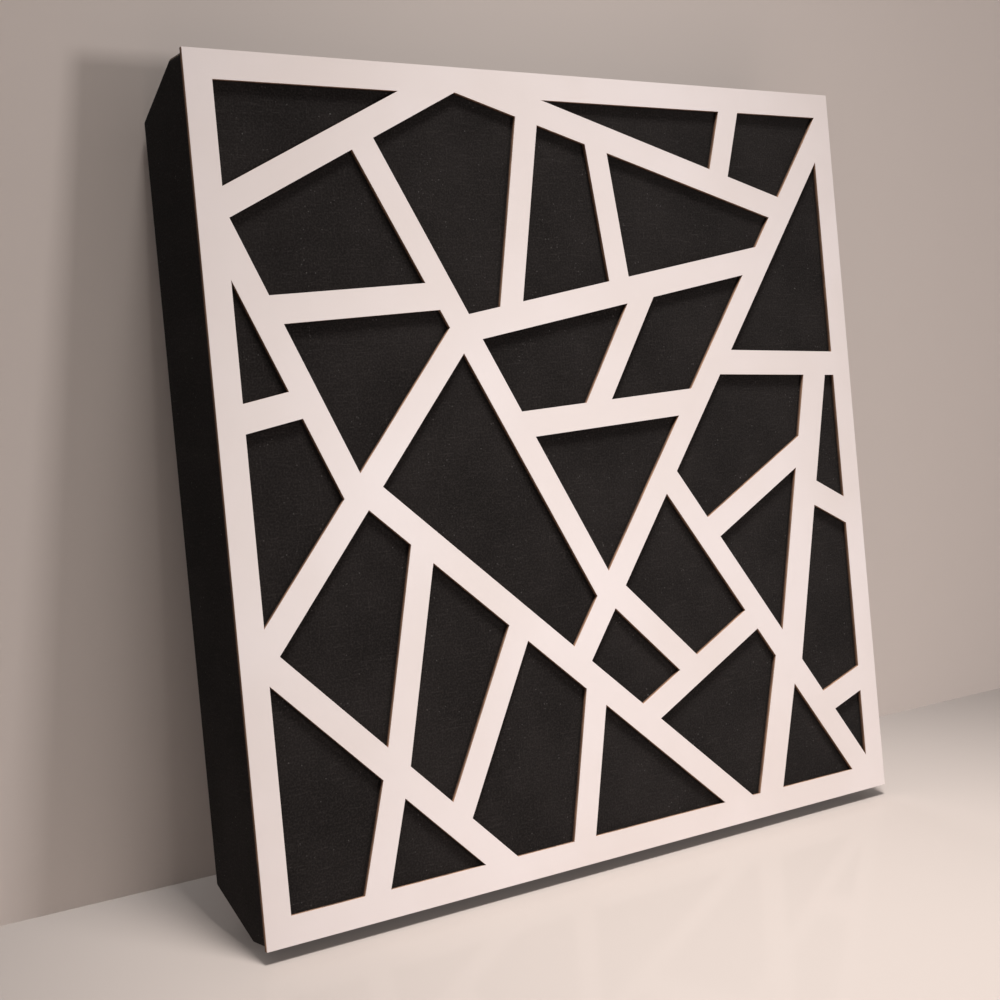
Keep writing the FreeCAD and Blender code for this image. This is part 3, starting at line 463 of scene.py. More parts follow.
def pucker(x, z):
    """Rise between the staples: a wave with one crest a pitch, fading away from the edges."""
    from_level = np.minimum(z - scrim_low[2], scrim_high[2] - z)
    from_upright = np.minimum(x - scrim_low[0], scrim_high[0] - x)
    level_wave = 0.5 + 0.5 * np.cos(2 * math.pi * x / pitch_x)
    upright_wave = 0.5 - 0.5 * np.cos(2 * math.pi * (z - MIDDLE_Z) / pitch_z)
    level_rise = level_wave * np.exp(-from_level / PUCKER_REACH)
    upright_rise = upright_wave * np.exp(-from_upright / PUCKER_REACH)
    return STAPLE_PUCKER * (level_rise + upright_rise)


def away_from_fittings(x, z):
    """0 under the bumpers and plates, where the scrim is held flat, and 1 well away from them."""
    free = np.ones_like(x)
    for name in FITTINGS:
        low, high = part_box(name)
        gap_x = np.maximum(np.maximum(low.x - x, x - high.x), 0)
        gap_z = np.maximum(np.maximum(low.z - z, z - high.z), 0)
        free *= smooth_step(np.hypot(gap_x, gap_z), HELD_WITHIN, FREE_FROM)
    return free


def edge_stray(across, half, along, rates):
    """Stray of the knife-cut edge: a sine of the way along it, bent by a slower one, near the edge."""
    rate, bend, bend_rate = rates
    near_edge = smooth_step(np.abs(across), half - EDGE_ZONE, half)
    return EDGE_WANDER * near_edge * np.sin(rate * along + bend * np.sin(bend_rate * along))


cut_lines_x = [x + side * CUT_HALF_WIDTH for x, z in cuts for side in (-1, 1)]
cut_lines_z = [cuts[0][1] + side * CUT_HALF_HEIGHT for side in (-1, 1)]
lines_x = lines_with(scrim_low[0], scrim_high[0], SCRIM_LINES, cut_lines_x)
lines_z = lines_with(scrim_low[2], scrim_high[2], SCRIM_LINES, cut_lines_z)
scrim_x, scrim_z = np.meshgrid(lines_x, lines_z, indexing="xy")
free = away_from_fittings(scrim_x, scrim_z)
scrim_y = SCRIM_Y + (pucker(scrim_x, scrim_z) - sag(scrim_x, scrim_z)) * free
stray_x = edge_stray(scrim_x, scrim_high[0], scrim_z, UPRIGHT_WANDER)
stray_z = edge_stray(scrim_z - MIDDLE_Z, scrim_high[2] - MIDDLE_Z, scrim_x, LEVEL_WANDER)
scrim_points = np.stack([scrim_x + stray_x, scrim_y, scrim_z + stray_z], axis=-1).reshape(-1, 3)

# %% Scrim mesh
scrim_numbers = np.arange(scrim_x.size).reshape(scrim_x.shape)
scrim_faces = strip_faces(scrim_numbers, closed=False)[:, ::-1]
face_middle = scrim_points[scrim_faces].mean(axis=1)
kept = np.ones(len(scrim_faces), bool)
for cut_x, cut_z in cuts:
    inside_x = np.abs(face_middle[:, 0] - cut_x) < CUT_HALF_WIDTH
    inside_z = np.abs(face_middle[:, 2] - cut_z) < CUT_HALF_HEIGHT
    kept &= ~(inside_x & inside_z)
scrim_faces = scrim_faces[kept]
scrim_uv = np.stack([scrim_x, scrim_z], axis=-1).reshape(-1, 2)[scrim_faces]
used, scrim_faces = np.unique(scrim_faces, return_inverse=True)
scrim_faces = scrim_faces.reshape(-1, 4)
back_scrim = make_piece("back_scrim", scrim_points[used], scrim_faces, scrim_uv)
thicken(back_scrim, SCRIM_THICKNESS)
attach(back_scrim, "root")
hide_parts("rear_scrim")

# %% [markdown]
# ## The wool slab
# Pressed mineral wool has soft edges, and a face that is never quite flat. It is a stuffed piece
# rather than a sheet, and it uses the same rounded grid as the cloth: a front cap, rings round the
# sides and a rear cap. Small sine waves of mixed direction give its unevenness.

# %% Slab
slab_low, slab_high = [np.array(corner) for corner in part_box("absorber_slab")]
SLAB_ROUND = 3 * MM
SLAB_SKIN = 0.2 * MM
SLAB_STEPS = 8
# Each row is one wave's rates along x, y and z
WOOL_WAVES = np.array([[61, 23, 87], [-43, 71, 52], [97, -38, -29], [34, 52, -118], [-143, 9, 66]])
slab_half = (slab_high - slab_low) / 2
slab_middle = (slab_high + slab_low) / 2


def slab_profile():
    """Inset and depth of each ring: a quarter circle, a straight run and a quarter circle back."""
    angle = np.linspace(0, math.pi / 2, EDGE_STEPS + 1)
    inset = np.concatenate([
        SLAB_ROUND * (1 - np.sin(angle)), np.zeros(SLAB_STEPS - 1), SLAB_ROUND * (1 - np.cos(angle)),
    ])
    depth = np.concatenate([
        slab_low[1] + SLAB_ROUND * (1 - np.cos(angle)),
        np.linspace(slab_low[1] + SLAB_ROUND, slab_high[1] - SLAB_ROUND, SLAB_STEPS + 1)[1:-1],
        slab_high[1] - SLAB_ROUND + SLAB_ROUND * np.sin(angle),
    ])
    return inset, depth


def wool_rise(points):
    """Unevenness of the skin, always inwards: the mean of five sines of slanted distances."""
    return SLAB_SKIN * (0.5 + 0.5 * np.sin(points @ WOOL_WAVES.T).mean(axis=-1))


slab_layers = [
    sheet_points(slab_half[0] - inset, slab_half[2] - inset, y, SLAB_ROUND)
    for inset, y in zip(*slab_profile())
]
inner_rings = np.concatenate([layer[outline] for layer in slab_layers[1:-1]])
slab_points = np.concatenate([slab_layers[0], inner_rings, slab_layers[-1]])
slab_points *= 1 - wool_rise(slab_points)[:, None] / slab_half.min()
slab_points[:, 0] += slab_middle[0]
slab_points[:, 2] += slab_middle[2]
first_inner = LINES * LINES
rear_cap = first_inner + len(inner_rings)
slab_rows = np.concatenate([
    outline[None, :],
    first_inner + np.arange(len(inner_rings)).reshape(-1, len(outline)),
    rear_cap + outline[None, :],
])
slab_side_faces = strip_faces(slab_rows, closed=True)[:, ::-1]
slab_faces = np.concatenate([front_faces, slab_side_faces, rear_cap + front_faces[:, ::-1]])
wool_slab = make_piece("wool_slab", slab_points, slab_faces)
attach(wool_slab, "root")
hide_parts("absorber_slab")

# %% [markdown]
# ## Hanger screws
# The solids of these screws have plain heads. A real one has a cross recess for the driver. The
# screw is one surface of revolution whose section runs from the middle of the head to the point,
# and the recess is pressed into the head: a point sinks where it is close to one of two crossing
# lines and not too far from the middle.

# %% One screw as a polar grid
TURN_POINTS = 96
HEAD_RINGS = 26
RECESS_REACH = 1.9 * MM
RECESS_DEEP_TO = 0.55 * RECESS_REACH
RECESS_HALF = 0.42 * MM
RECESS_DEPTH = 1.5 * MM
RECESS_WALL = 0.12 * MM
screw_cloud = node_points("hanger_screws")
HEAD_Y = screw_cloud[:, 1].max()
TIP_Y = screw_cloud[:, 1].min()
screw_z = (screw_cloud[:, 2].max() + screw_cloud[:, 2].min()) / 2
head_rim = screw_cloud[screw_cloud[:, 1] > HEAD_Y - ON_PLANE]
HEAD_RADIUS = head_rim[:, 2].max() - screw_z
SHANK_RADIUS = 1.7 * MM
POINT_LENGTH = 1.5 * SHANK_RADIUS
END_RADIUS = 0.02 * MM
SCREWS_APART = 8 * MM


def screw_surface():
    """Points of a screw along +Y, from the recess to the point, as rings of equal turns.

    The head is flat apart from the recess. Its depth is a smooth wall in the distance to the nearer
    of the two crossing lines, times a smooth end in the distance from the middle.
    """
    turn = np.linspace(0, 2 * math.pi, TURN_POINTS, endpoint=False)
    head_r = np.linspace(END_RADIUS, HEAD_RADIUS, HEAD_RINGS)
    body_r = np.array([SHANK_RADIUS, SHANK_RADIUS, SHANK_RADIUS / 2, END_RADIUS])
    head_drop = HEAD_RADIUS - SHANK_RADIUS
    length = HEAD_Y - TIP_Y
    body_d = np.array([head_drop, length - POINT_LENGTH, length - POINT_LENGTH / 2, length])
    radius = np.concatenate([head_r, body_r])[:, None]
    x = radius * np.cos(turn)
    z = radius * np.sin(turn)
    depth = np.concatenate([np.zeros(HEAD_RINGS), body_d])[:, None] + np.zeros_like(x)
    line_gap = np.minimum(np.abs(x), np.abs(z))
    wall_share = 1 - smooth_step(line_gap, RECESS_HALF - RECESS_WALL, RECESS_HALF)
    end_share = 1 - smooth_step(np.hypot(x, z), RECESS_DEEP_TO, RECESS_REACH)
    on_head = (np.arange(len(radius)) < HEAD_RINGS - 1)[:, None]
    depth = depth + RECESS_DEPTH * wall_share * end_share * on_head
    return np.stack([x, HEAD_Y - depth, z], axis=-1)


def close_ring(ring):
    """Four-cornered faces over a ring: the points of one half, each paired with the one across."""
    half = len(ring) // 2
    return strip_faces(np.stack([ring[:half], ring[::-1][:half]]), closed=False)


one_screw = screw_surface()
screw_size = one_screw.size // 3
screw_rows = np.arange(screw_size).reshape(-1, TURN_POINTS)
one_faces = np.concatenate([
    close_ring(screw_rows[0])[:, ::-1], strip_faces(screw_rows, closed=True), close_ring(screw_rows[-1]),
])
print("screw head radius in mm:", HEAD_RADIUS / MM, "length in mm:", (HEAD_Y - TIP_Y) / MM)

# %% All four screws
rim_x = np.unique(head_rim[:, 0].round(3))
last_of_head = np.where(np.diff(rim_x) > SCREWS_APART)[0]
screw_places = [(head.min() + head.max()) / 2 for head in np.split(rim_x, last_of_head + 1)]
screw_points = np.concatenate([one_screw.reshape(-1, 3) + [x, 0, screw_z] for x in screw_places])
screw_faces = np.concatenate([one_faces + k * screw_size for k in range(len(screw_places))])
recessed_screws = make_piece("recessed_hanger_screws", screw_points, screw_faces)
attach(recessed_screws, "root")
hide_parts("hanger_screws")
print("screws at x in mm:", [round(x / MM, 2) for x in screw_places])

# %% [markdown]
# ## Shader building blocks
# Materials here are small graphs, and a few helpers keep them readable. They add a node and fill
# its inputs, make a material or a group with named sockets, and shorten what most finishes need:
# noise, a stretched place, a mix of two colours, a value stretched to a new range.

# %% Node helpers


def set_inputs(tree, node, inputs):
    """Give a node's inputs plain values, or links from other nodes' sockets."""
    for name, source in inputs.items():
        if isinstance(source, bpy.types.NodeSocket):
            tree.links.new(source, node.inputs[name])
        else:
            node.inputs[name].default_value = source


def add_node(tree, kind, inputs=None, **settings):
    """Add a node, set its properties, and fill its inputs."""
    node = tree.nodes.new(kind)
    for name, setting in settings.items():
        setattr(node, name, setting)
    set_inputs(tree, node, inputs or {})
    return node


def math_node(tree, operation, first, second=0.0, third=0.0):
    """A Math node's result. Each operand is a number or a socket."""
    node = add_node(tree, "ShaderNodeMath", {0: first, 1: second, 2: third}, operation=operation)
    return node.outputs[0]


def weighted_sum(tree, *parts):
    """The sum of several values, each times its own weight."""
    total = 0.0
    for source, weight in parts:
        total = math_node(tree, "MULTIPLY_ADD", source, weight, total)
    return total


def mix_colours(tree, share, first, second):
    """The colour between two, by a share. Each is three plain numbers or a socket.

    A Mix node numbers its share 0, its colours 6 and 7, and the colour that it puts out 2.
    """
    first, second = [(*side, 1) if isinstance(side, tuple) else side for side in (first, second)]
    node = add_node(tree, "ShaderNodeMix", {0: share, 6: first, 7: second}, data_type="RGBA")
    return node.outputs[2]


def from_to(tree, source, low, high, new_low=0.0, new_high=1.0):
    """A value stretched from one range to another and held inside it, with soft ends."""
    return add_node(tree, "ShaderNodeMapRange", {
        "Value": source, "From Min": low, "From Max": high, "To Min": new_low, "To Max": new_high,
    }, interpolation_type="SMOOTHSTEP").outputs["Result"]


def noise(tree, place, scale, detail, distortion=0.0):
    """The value of a noise texture at a place."""
    return add_node(tree, "ShaderNodeTexNoise", {
        "Vector": place, "Scale": scale, "Detail": detail, "Distortion": distortion,
    }).outputs["Fac"]


def stretch(tree, place, factors):
    """A place with each of its coordinates multiplied by its own factor."""
    return add_node(tree, "ShaderNodeVectorMath", {0: place, 1: factors}, operation="MULTIPLY").outputs[0]


def split(tree, place):
    """The coordinates of a place, as sockets named X, Y and Z."""
    return add_node(tree, "ShaderNodeSeparateXYZ", {"Vector": place}).outputs


def new_group(name, inputs, output):
    """An empty shader group with its sockets: names with default values in, and one value out."""
    tree = bpy.data.node_groups.new(name, "ShaderNodeTree")
    for socket_name, default in inputs.items():
        kind = "NodeSocketVector" if default is None else "NodeSocketFloat"
        socket = tree.interface.new_socket(socket_name, in_out="INPUT", socket_type=kind)
        if default is not None:
            socket.default_value = default
    tree.interface.new_socket(output, in_out="OUTPUT", socket_type="NodeSocketFloat")
    entry = tree.nodes.new("NodeGroupInput").outputs
    leave = tree.nodes.new("NodeGroupOutput").inputs
    return tree, entry, leave


def use_group(tree, group, inputs):
    """Place a group in a material and return its one output."""
    return add_node(tree, "ShaderNodeGroup", inputs, node_tree=group).outputs[0]


def new_material(name, colour, roughness):
    """A material with a plain Principled shader, ready for links."""
    material = bpy.data.materials.new(name)
    material.use_nodes = True
    material.diffuse_color = (*colour, 1)
    shader = material.node_tree.nodes["Principled BSDF"]
    set_inputs(material.node_tree, shader, {"Base Color": (*colour, 1), "Roughness": roughness})
    return material, material.node_tree, shader


def object_place(tree):
    """The Object coordinate: the point's place in the panel's frame, in metres."""
    return tree.nodes.new("ShaderNodeTexCoord").outputs["Object"]


def cloth_place(tree):
    """The place in the flat cloth, in metres, from the piece's own UV map."""
    return add_node(tree, "ShaderNodeUVMap", uv_map="cloth").outputs["UV"]


def add_bump(tree, shader, height, distance):
    """Bump on a shader, from a height between 0 and 1 and its depth in metres."""
    bump = add_node(tree, "ShaderNodeBump", {"Strength": 1.0, "Distance": distance, "Height": height})
    tree.links.new(bump.outputs["Normal"], shader.inputs["Normal"])


# %% [markdown]
# ## Effects that several finishes share
# Mottle is a soft unevenness of tone, with its own scale. Weave is a plain weave: warp threads run
# one way and weft threads the other, and a checker decides which lies on top. Its height also goes
# into the cloth's colour, as painted shade in the gaps between threads. Slubs are the thicker
# stretches of some threads; the cloth paints them lighter, as a painted highlight. Specks are the
# bits of lint that dark cloth holds: each cell of a Voronoi pattern may hold one, and they gather in
# patches.

# %% Mottle
mottle, entry, leave = new_group("soft_mottle", {"Place": None, "Scale": 10.0, "Detail": 2.0}, "Tone")
cloud = noise(mottle, entry["Place"], entry["Scale"], entry["Detail"])
mottle.links.new(from_to(mottle, cloud, low=0.3, high=0.7), leave["Tone"])


def mottled(tree, place, scale, detail):
    """The mottle's tone in a material, from 0 to 1."""
    return use_group(tree, mottle, {"Place": place, "Scale": scale, "Detail": detail})


# %% Weave
THREAD_PITCH = 0.7 * MM
CROSSING_SOFTNESS = 0.35
weave, entry, leave = new_group("plain_weave", {"Place": None, "Pitch": THREAD_PITCH}, "Height")
axes = split(weave, entry["Place"])
waves = []
for axis in ("X", "Y"):
    count = math_node(weave, "DIVIDE", axes[axis], entry["Pitch"])
    waves.append(math_node(weave, "SINE", math_node(weave, "MULTIPLY", count, math.pi)))
warp_rise, weft_rise = [math_node(weave, "MULTIPLY", wave, wave) for wave in waves]
checker = math_node(weave, "MULTIPLY", waves[0], waves[1])
over = from_to(weave, checker, -CROSSING_SOFTNESS, CROSSING_SOFTNESS)
under = math_node(weave, "SUBTRACT", 1.0, over)
warp_part = math_node(weave, "MULTIPLY", warp_rise, over)
weft_part = math_node(weave, "MULTIPLY", weft_rise, under)
weave.links.new(math_node(weave, "ADD", warp_part, weft_part), leave["Height"])

# %% Slubs
slubs, entry, leave = new_group("thread_slubs", {"Place": None, "Fine": 900.0, "Long": 70.0}, "Slub")
axes = split(slubs, entry["Place"])
runs = []
for fine_axis, long_axis, seed in (("X", "Y", 0.0), ("Y", "X", 7.3)):
    fine = math_node(slubs, "MULTIPLY", axes[fine_axis], entry["Fine"])
    long = math_node(slubs, "MULTIPLY", axes[long_axis], entry["Long"])
    drawn_out = add_node(slubs, "ShaderNodeCombineXYZ", {"X": fine, "Y": long, "Z": seed}).outputs[0]
    runs.append(from_to(slubs, noise(slubs, drawn_out, scale=1.0, detail=1.0), low=0.58, high=0.78))
slubs.links.new(math_node(slubs, "MAXIMUM", runs[0], runs[1]), leave["Slub"])

# %% Specks
specks, entry, leave = new_group(
    "lint_specks", {"Place": None, "Scale": 90.0, "Share": 0.2, "Size": 0.06}, "Speck")
cells = add_node(specks, "ShaderNodeTexVoronoi", {
    "Vector": entry["Place"], "Scale": entry["Scale"],
}).outputs
chance, strength = add_node(specks, "ShaderNodeSeparateColor", {"Color": cells["Color"]}).outputs[:2]
patch = from_to(specks, noise(specks, entry["Place"], scale=38.0, detail=2.0), low=0.46, high=0.68)
chosen = math_node(specks, "LESS_THAN", chance, math_node(specks, "MULTIPLY", patch, entry["Share"]))
from_middle = math_node(specks, "DIVIDE", cells["Distance"], entry["Size"])
dot = from_to(specks, from_middle, low=1.3, high=0.5)
speck = math_node(specks, "MULTIPLY", dot, math_node(specks, "MULTIPLY", chosen, strength))
specks.links.new(speck, leave["Speck"])

# %% [markdown]
# ## White lattice board
# The board is fibreboard with a thin white satin face. A laser has cut it, so its cut edges are
# toasted brown, with soot in patches, and they are painted darker towards the back as painted shade
# where they meet the recess by the cloth. The board lies flat in the XZ plane, so depth alone tells
# face from edge: the first quarter of a millimetre is the white face, and everything behind it is
# toasted. Fine ridges run through the edge from front to back.

# %% Lattice material
WHITE = (0.757, 0.669, 0.650)
WHITE_SHADE = (0.713, 0.620, 0.589)
# Near-black for the cut edge: real soot where the patches fall, and painted shade towards the back
TOAST = (0.50, 0.285, 0.175)
SOOT_AND_SHADE = (0.085, 0.042, 0.024)
FACE_ROUGHNESS = 0.42
EDGE_ROUGHNESS = 0.85
SOOT_PATCHES = 0.35
PEEL_SHARE = 0.25
RIDGE_STRETCH = (2600.0, 90.0, 2600.0)
lattice_low, lattice_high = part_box("lattice_panel")
FACE_DEPTH = 0.25 * MM
face_back = lattice_low.y + FACE_DEPTH
toast_from = lattice_low.y + 1.6 * FACE_DEPTH

white_board, tree, shader = new_material("white_board", WHITE, FACE_ROUGHNESS)
place = object_place(tree)
depth = split(tree, place)["Y"]
behind_face = from_to(tree, depth, face_back, toast_from)
face_colour = mix_colours(tree, mottled(tree, place, scale=7.0, detail=3.0), WHITE, WHITE_SHADE)
patches = mottled(tree, place, scale=55.0, detail=2.0)
# Painted shade: the cut edge darkens from the face to the back of the board, where it meets the recess by
# the cloth
through = from_to(tree, depth, face_back, lattice_high.y)
soot_and_shade_share = math_node(tree, "MULTIPLY_ADD", patches, SOOT_PATCHES, through)
toast_and_shade_colour = mix_colours(tree, soot_and_shade_share, TOAST, SOOT_AND_SHADE)
set_inputs(tree, shader, {
    "Base Color": mix_colours(tree, behind_face, face_colour, toast_and_shade_colour),
    "Roughness": from_to(tree, behind_face, 0.0, 1.0, FACE_ROUGHNESS, EDGE_ROUGHNESS),
})
ridges = noise(tree, stretch(tree, place, RIDGE_STRETCH), scale=1.0, detail=2.0)
peel = noise(tree, place, scale=420.0, detail=1.0)
faint_peel = math_node(tree, "MULTIPLY", peel, PEEL_SHARE)
edge_ridges = math_node(tree, "MULTIPLY", ridges, behind_face)
add_bump(tree, shader, math_node(tree, "ADD", edge_ridges, faint_peel), 0.06 * MM)

# %% [markdown]
# ## Black cloth and scrim
# Acoustic cloth is an open plain weave of matt polyester. It reads as near-black with a warm cast,
# and a close look shows threads, a few slubs and a little lint. The thread crowns and slubs are
# painted lighter and the gaps between threads darker: painted highlight and painted shade. Its weave
# follows the flat cloth's own coordinates. The scrim is felted, not woven, so it has fibres in every
# direction instead.

# %% Cloth material
CLOTH = (0.0050, 0.0040, 0.0036)
CLOTH_LIGHT = (0.044, 0.037, 0.035)
LINT = (0.17, 0.155, 0.15)
BITS = {"Scale": 110.0, "Share": 0.30, "Size": 0.055}
DOTS = {"Scale": 330.0, "Share": 0.75, "Size": 0.16}
DOT_STRENGTH = 0.45
SLUB_RISE = 0.4
black_cloth, tree, shader = new_material("black_cloth", CLOTH, 0.92)
place = cloth_place(tree)
threads_and_gap_shade = use_group(tree, weave, {"Place": place, "Pitch": THREAD_PITCH})
slub_and_highlight = use_group(tree, slubs, {"Place": place})
grain = from_to(tree, noise(tree, place, scale=700.0, detail=2.0), low=0.35, high=0.75)
tone = mottled(tree, place, scale=16.0, detail=3.0)
# Painted shade and highlight: the weave's height darkens the gaps and lightens the thread crowns, and
# slubs are painted lighter; tone and grain are the cloth's own
light_share = weighted_sum(tree, (tone, 0.14), (threads_and_gap_shade, 0.20), (grain, 0.30), (slub_and_highlight, 0.18))
cloth_colour = mix_colours(tree, light_share, CLOTH, CLOTH_LIGHT)
bits = use_group(tree, specks, {"Place": place, **BITS})
dots = use_group(tree, specks, {"Place": place, **DOTS})
lint = math_node(tree, "MAXIMUM", bits, math_node(tree, "MULTIPLY", dots, DOT_STRENGTH))
set_inputs(tree, shader, {
    "Base Color": mix_colours(tree, lint, cloth_colour, LINT),
    "Sheen Weight": 0.02,
    "Sheen Roughness": 0.5,
    "Specular IOR Level": 0.06,
})
add_bump(tree, shader, math_node(tree, "MULTIPLY_ADD", slub_and_highlight, SLUB_RISE, threads_and_gap_shade), 0.12 * MM)
cloth_cover.data.materials.append(black_cloth)

# %% Scrim material
FELT = (0.022, 0.022, 0.022)
FELT_LIGHT = (0.075, 0.073, 0.070)
felt_scrim, tree, shader = new_material("felt_scrim", FELT, 0.95)
place = cloth_place(tree)
tufts = mottled(tree, place, scale=110.0, detail=6.0)
broad = mottled(tree, place, scale=9.0, detail=2.0)
light_share = weighted_sum(tree, (broad, 0.25), (tufts, 0.55))
set_inputs(tree, shader, {
    "Base Color": mix_colours(tree, light_share, FELT, FELT_LIGHT),
    "Sheen Weight": 0.05,
})
fibres = noise(tree, place, scale=700.0, detail=4.0, distortion=1.5)
add_bump(tree, shader, fibres, 0.10 * MM)
back_scrim.data.materials.append(felt_scrim)

# %% [markdown]
# ## Timber, wool and tape
# The boards are planed softwood. Grain runs along each board: rings are a wave across it, bent by
# slow noise, and short darker fibres lie along it. The rails run left to right and the side boards
# upright, so the grain's long axis is chosen for each. Wool is coarse noise in two mustard tones.

# %% Timber materials
PALE_WOOD = (0.66, 0.48, 0.30)
DARK_WOOD = (0.46, 0.29, 0.15)
ALONG_GRAIN = 3.0
ACROSS_GRAIN = 45.0
RING_RATE = 60.0


def timber(name, factors):
    """Softwood with its grain along the axis whose factor is smallest."""
    material, tree, shader = new_material(name, PALE_WOOD, 0.65)
    along = stretch(tree, object_place(tree), factors)
    bend = noise(tree, along, scale=0.6, detail=2.0)
    rings = math_node(tree, "SINE", math_node(tree, "MULTIPLY", bend, RING_RATE))
    late_wood = from_to(tree, rings, low=0.1, high=1.0)
    fibre = noise(tree, along, scale=12.0, detail=3.0)
    share = weighted_sum(tree, (late_wood, 0.5), (fibre, 0.35))
    tree.links.new(mix_colours(tree, share, PALE_WOOD, DARK_WOOD), shader.inputs["Base Color"])
    add_bump(tree, shader, fibre, 0.08 * MM)
    return material


level_timber = timber("level_timber", (ALONG_GRAIN, ACROSS_GRAIN, ACROSS_GRAIN))
upright_timber = timber("upright_timber", (ACROSS_GRAIN, ACROSS_GRAIN, ALONG_GRAIN))

# %% Wool material
WOOL = (0.42, 0.36, 0.20)
WOOL_LIGHT = (0.60, 0.54, 0.36)
wool, tree, shader = new_material("pressed_wool", WOOL, 0.95)
place = object_place(tree)
tuft = mottled(tree, place, scale=120.0, detail=6.0)
tree.links.new(mix_colours(tree, tuft, WOOL, WOOL_LIGHT), shader.inputs["Base Color"])
strands = noise(tree, place, scale=500.0, detail=5.0, distortion=2.0)
add_bump(tree, shader, strands, 0.5 * MM)
wool_slab.data.materials.append(wool)

# %% Tape material
TAPE = (0.030, 0.030, 0.032)
tape, tree, shader = new_material("black_tape", TAPE, 0.5)
grime = mottled(tree, object_place(tree), scale=40.0, detail=3.0)
tree.links.new(from_to(tree, grime, 0.0, 1.0, new_low=0.42, new_high=0.6), shader.inputs["Roughness"])

# %% [markdown]
# ## Metal and rubber
# The plates and screws are zinc plated: a bright, slightly blue-grey metal with a soft cloudy
# reflection and fine rolling lines. The staples are plain galvanised wire. The bumpers are moulded
# rubber, with a fine even texture and a little dust.

# %% Metal materials
ZINC = (0.66, 0.67, 0.68)
ZINC_SHADE = (0.54, 0.56, 0.58)
WIRE = (0.62, 0.61, 0.58)
WIRE_SHADE = (0.50, 0.49, 0.47)
ALONG_LINES = 60.0


def plated(name, colour, shade, line_rate):
    """Plated steel: cloudy roughness, and faint lines along X from rolling or drawing."""
    material, tree, shader = new_material(name, colour, 0.35)
    place = object_place(tree)
    cloud = mottled(tree, place, scale=160.0, detail=3.0)
    set_inputs(tree, shader, {
        "Base Color": mix_colours(tree, cloud, colour, shade),
        "Roughness": from_to(tree, cloud, 0.0, 1.0, new_low=0.28, new_high=0.48),
        "Metallic": 1.0,
    })
    drawn_out = stretch(tree, place, (ALONG_LINES, line_rate, line_rate))
    add_bump(tree, shader, noise(tree, drawn_out, scale=1.0, detail=1.0), 0.02 * MM)
    return material


zinc = plated("zinc_plate", ZINC, ZINC_SHADE, line_rate=2200.0)
wire = plated("staple_wire", WIRE, WIRE_SHADE, line_rate=900.0)
recessed_screws.data.materials.append(zinc)

# %% Rubber material
RUBBER = (0.028, 0.028, 0.028)
DUSTY_RUBBER = (0.060, 0.058, 0.055)
MOST_DUST = 0.5
rubber, tree, shader = new_material("bumper_rubber", RUBBER, 0.6)
place = object_place(tree)
dust = math_node(tree, "MULTIPLY", mottled(tree, place, scale=220.0, detail=4.0), MOST_DUST)
tree.links.new(mix_colours(tree, dust, RUBBER, DUSTY_RUBBER), shader.inputs["Base Color"])
add_bump(tree, shader, noise(tree, place, scale=2500.0, detail=1.0), 0.04 * MM)

# %% [markdown]
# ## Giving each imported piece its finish
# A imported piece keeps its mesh, and only its material changes. One table says which names take
# which finish.

# %% Finish table
FINISHES = (
    ("lattice_panel", white_board),
    ("tape_", tape),
    ("fabric_cover", black_cloth),
    ("rear_scrim", felt_scrim),
    ("absorber_slab", wool),
    ("side_board_", upright_timber),
    ("front_rail_", level_timber),
    ("rear_rail_", level_timber),
    ("centre_batten", level_timber),
    ("hanger_", zinc),
    ("frame_screws", zinc),
    ("scrim_staples", wire),
    ("bumper_", rubber),
)
for name, node in sorted(nodes.items()):
    finish = next(material for start, material in FINISHES if name.startswith(start))
    node.data.materials.clear()
    node.data.materials.append(finish)
print("finished pieces:", len(nodes))

# %% [markdown]
# ## Floor and wall
# The panel stands by a pale, slightly glossy floor and leans on a plain wall. Both belong to the
# room, so they tilt with it. The shadow under the panel's front edge shows how far below it the
# floor lies. The wall shows only from its front side and only to the camera and in reflections. It
# holds back no light, so the back of the panel can be lit and looked at too.

# %% Room
ROOM_HALF = 4.0
FLOOR_DROP = 10.5 * MM
lowest = room_up.dot(Vector((0, FRONT_Y, cover_low[2])))
furthest = room_back.dot(Vector((0, model_high.y, MIDDLE_Z + REAR_HALF_HEIGHT)))
floor_height = lowest - FLOOR_DROP


def in_room(across, to_wall, up):
    """A point given across the room, towards its wall and up from the origin's level."""
    return room_across * across + room_back * to_wall + room_up * up


def room_plane(name, middle, across, up):
    """A square plane round a point, spread along two directions and facing their cross product."""
    steps = np.array([[-1, -1], [1, -1], [1, 1], [-1, 1]]) * ROOM_HALF
    points = np.array(middle) + steps[:, :1] * np.array(across) + steps[:, 1:] * np.array(up)
    plane = make_piece(name, points, np.array([[0, 1, 2, 3]]), smooth=False)
    return plane


floor = room_plane("floor", in_room(0, 0, floor_height), room_across, room_back)
wall = room_plane("wall", in_room(0, furthest, 0), room_across, room_up)
print("floor at", floor_height, "wall at", furthest)

# %% Room materials
FLOOR_COLOUR = (0.45, 0.388, 0.358)
FLOOR_GLOSS = 0.22
WALL_COLOUR = (0.645, 0.56, 0.515)
floor_finish, tree, shader = new_material("pale_floor", FLOOR_COLOUR, 0.9)
set_inputs(tree, shader, {
    "Specular IOR Level": 0.0,
    "Coat Weight": FLOOR_GLOSS,
    "Coat Roughness": 0.09,
})
floor.data.materials.append(floor_finish)
wall_finish, tree, shader = new_material("plain_wall", WALL_COLOUR, 0.8)
set_inputs(tree, shader, {"Specular IOR Level": 0.1})
behind = tree.nodes.new("ShaderNodeNewGeometry").outputs["Backfacing"]
path = tree.nodes.new("ShaderNodeLightPath").outputs
looked_at = math_node(tree, "MAXIMUM", path["Is Camera Ray"], path["Is Glossy Ray"])
shown = math_node(tree, "MULTIPLY", looked_at, math_node(tree, "SUBTRACT", 1.0, behind))
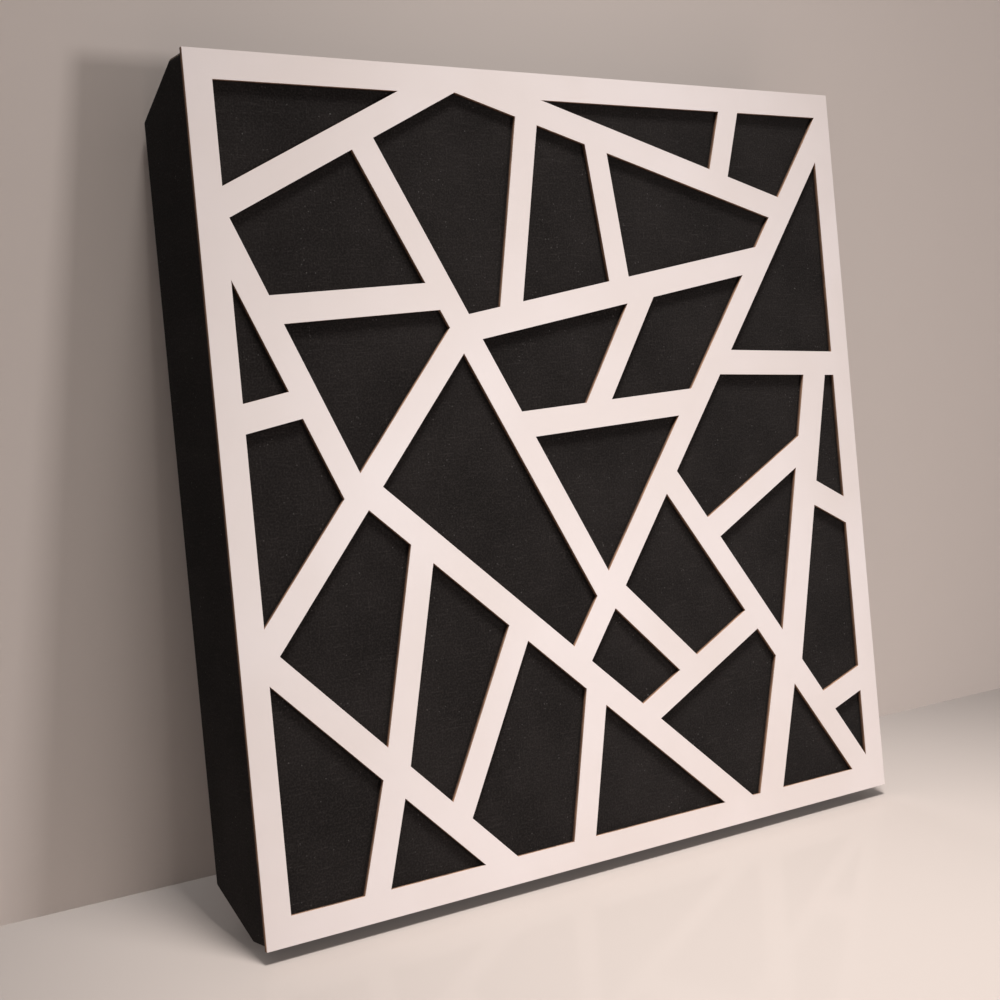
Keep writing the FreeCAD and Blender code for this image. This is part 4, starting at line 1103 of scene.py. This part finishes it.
clear = tree.nodes.new("ShaderNodeBsdfTransparent")
one_sided = add_node(tree, "ShaderNodeMixShader", {0: shown, 1: clear.outputs[0], 2: shader.outputs[0]})
tree.links.new(one_sided.outputs[0], tree.nodes["Material Output"].inputs["Surface"])
wall.data.materials.append(wall_finish)

# %% [markdown]
# ## Light
# The shadows in the picture tell where its two lamps are. Each opening has a soft shadow under its
# top edge, about three times as high as the cloth lies deep, so the main lamp hangs nearly straight
# above, a little in front. The wall holds a second shadow of the panel, a short way to its left and
# hardly lower, so the other lamp stands far off to the right, about level with the panel. The
# white face mirrors that one softly in its middle. A pale world fills the rest. A third lamp stands
# behind the wall and lights the back of the panel, which the picture doesn't show.

# %% World and lamps
FILL = 0.30
SKY = (1.0, 0.99, 0.98)
CEILING_WATTS = 430.0
CEILING_PLACE = in_room(-0.10, -0.45, 2.6)
CEILING_AIM = in_room(0.03, -0.28, 0.15)
CEILING_RADIUS = 0.30
CEILING_CONE = math.radians(35)
CEILING_COLOUR = (1.0, 0.99, 0.97)
LAMP_AIM = in_room(0, 0, 0.3)
SIDE_WATTS = 20.0
SIDE_PLACE = in_room(1.19, -2.28, 0.62)
SIDE_SIZE = 0.45
SIDE_COLOUR = (1.0, 0.98, 0.98)
REAR_WATTS = 36.0
REAR_PLACE = in_room(0.35, 2.6, 0.5)
REAR_SIZE = 0.9
world = bpy.data.worlds.new("studio")
world.use_nodes = True
background = world.node_tree.nodes["Background"]
set_inputs(world.node_tree, background, {"Color": (*SKY, 1), "Strength": FILL})
bpy.context.scene.world = world


def new_lamp(name, kind, watts, place, target, **settings):
    """A lamp in the room, pointed at a target, with settings such as its size and colour."""
    data = bpy.data.lights.new(name, kind)
    data.energy = watts
    for setting, amount in settings.items():
        setattr(data, setting, amount)
    lamp = bpy.data.objects.new(name, data)
    bpy.context.scene.collection.objects.link(lamp)
    look_at(lamp, place, target)


new_lamp(
    "ceiling_spot", "SPOT", CEILING_WATTS, CEILING_PLACE, CEILING_AIM, color=CEILING_COLOUR,
    shadow_soft_size=CEILING_RADIUS, spot_size=CEILING_CONE, spot_blend=1.0,
)
new_lamp("side_window", "AREA", SIDE_WATTS, SIDE_PLACE, LAMP_AIM, color=SIDE_COLOUR, size=SIDE_SIZE)
new_lamp("rear_softbox", "AREA", REAR_WATTS, REAR_PLACE, LAMP_AIM, size=REAR_SIZE)
bpy.context.scene.view_settings.view_transform = "Standard"
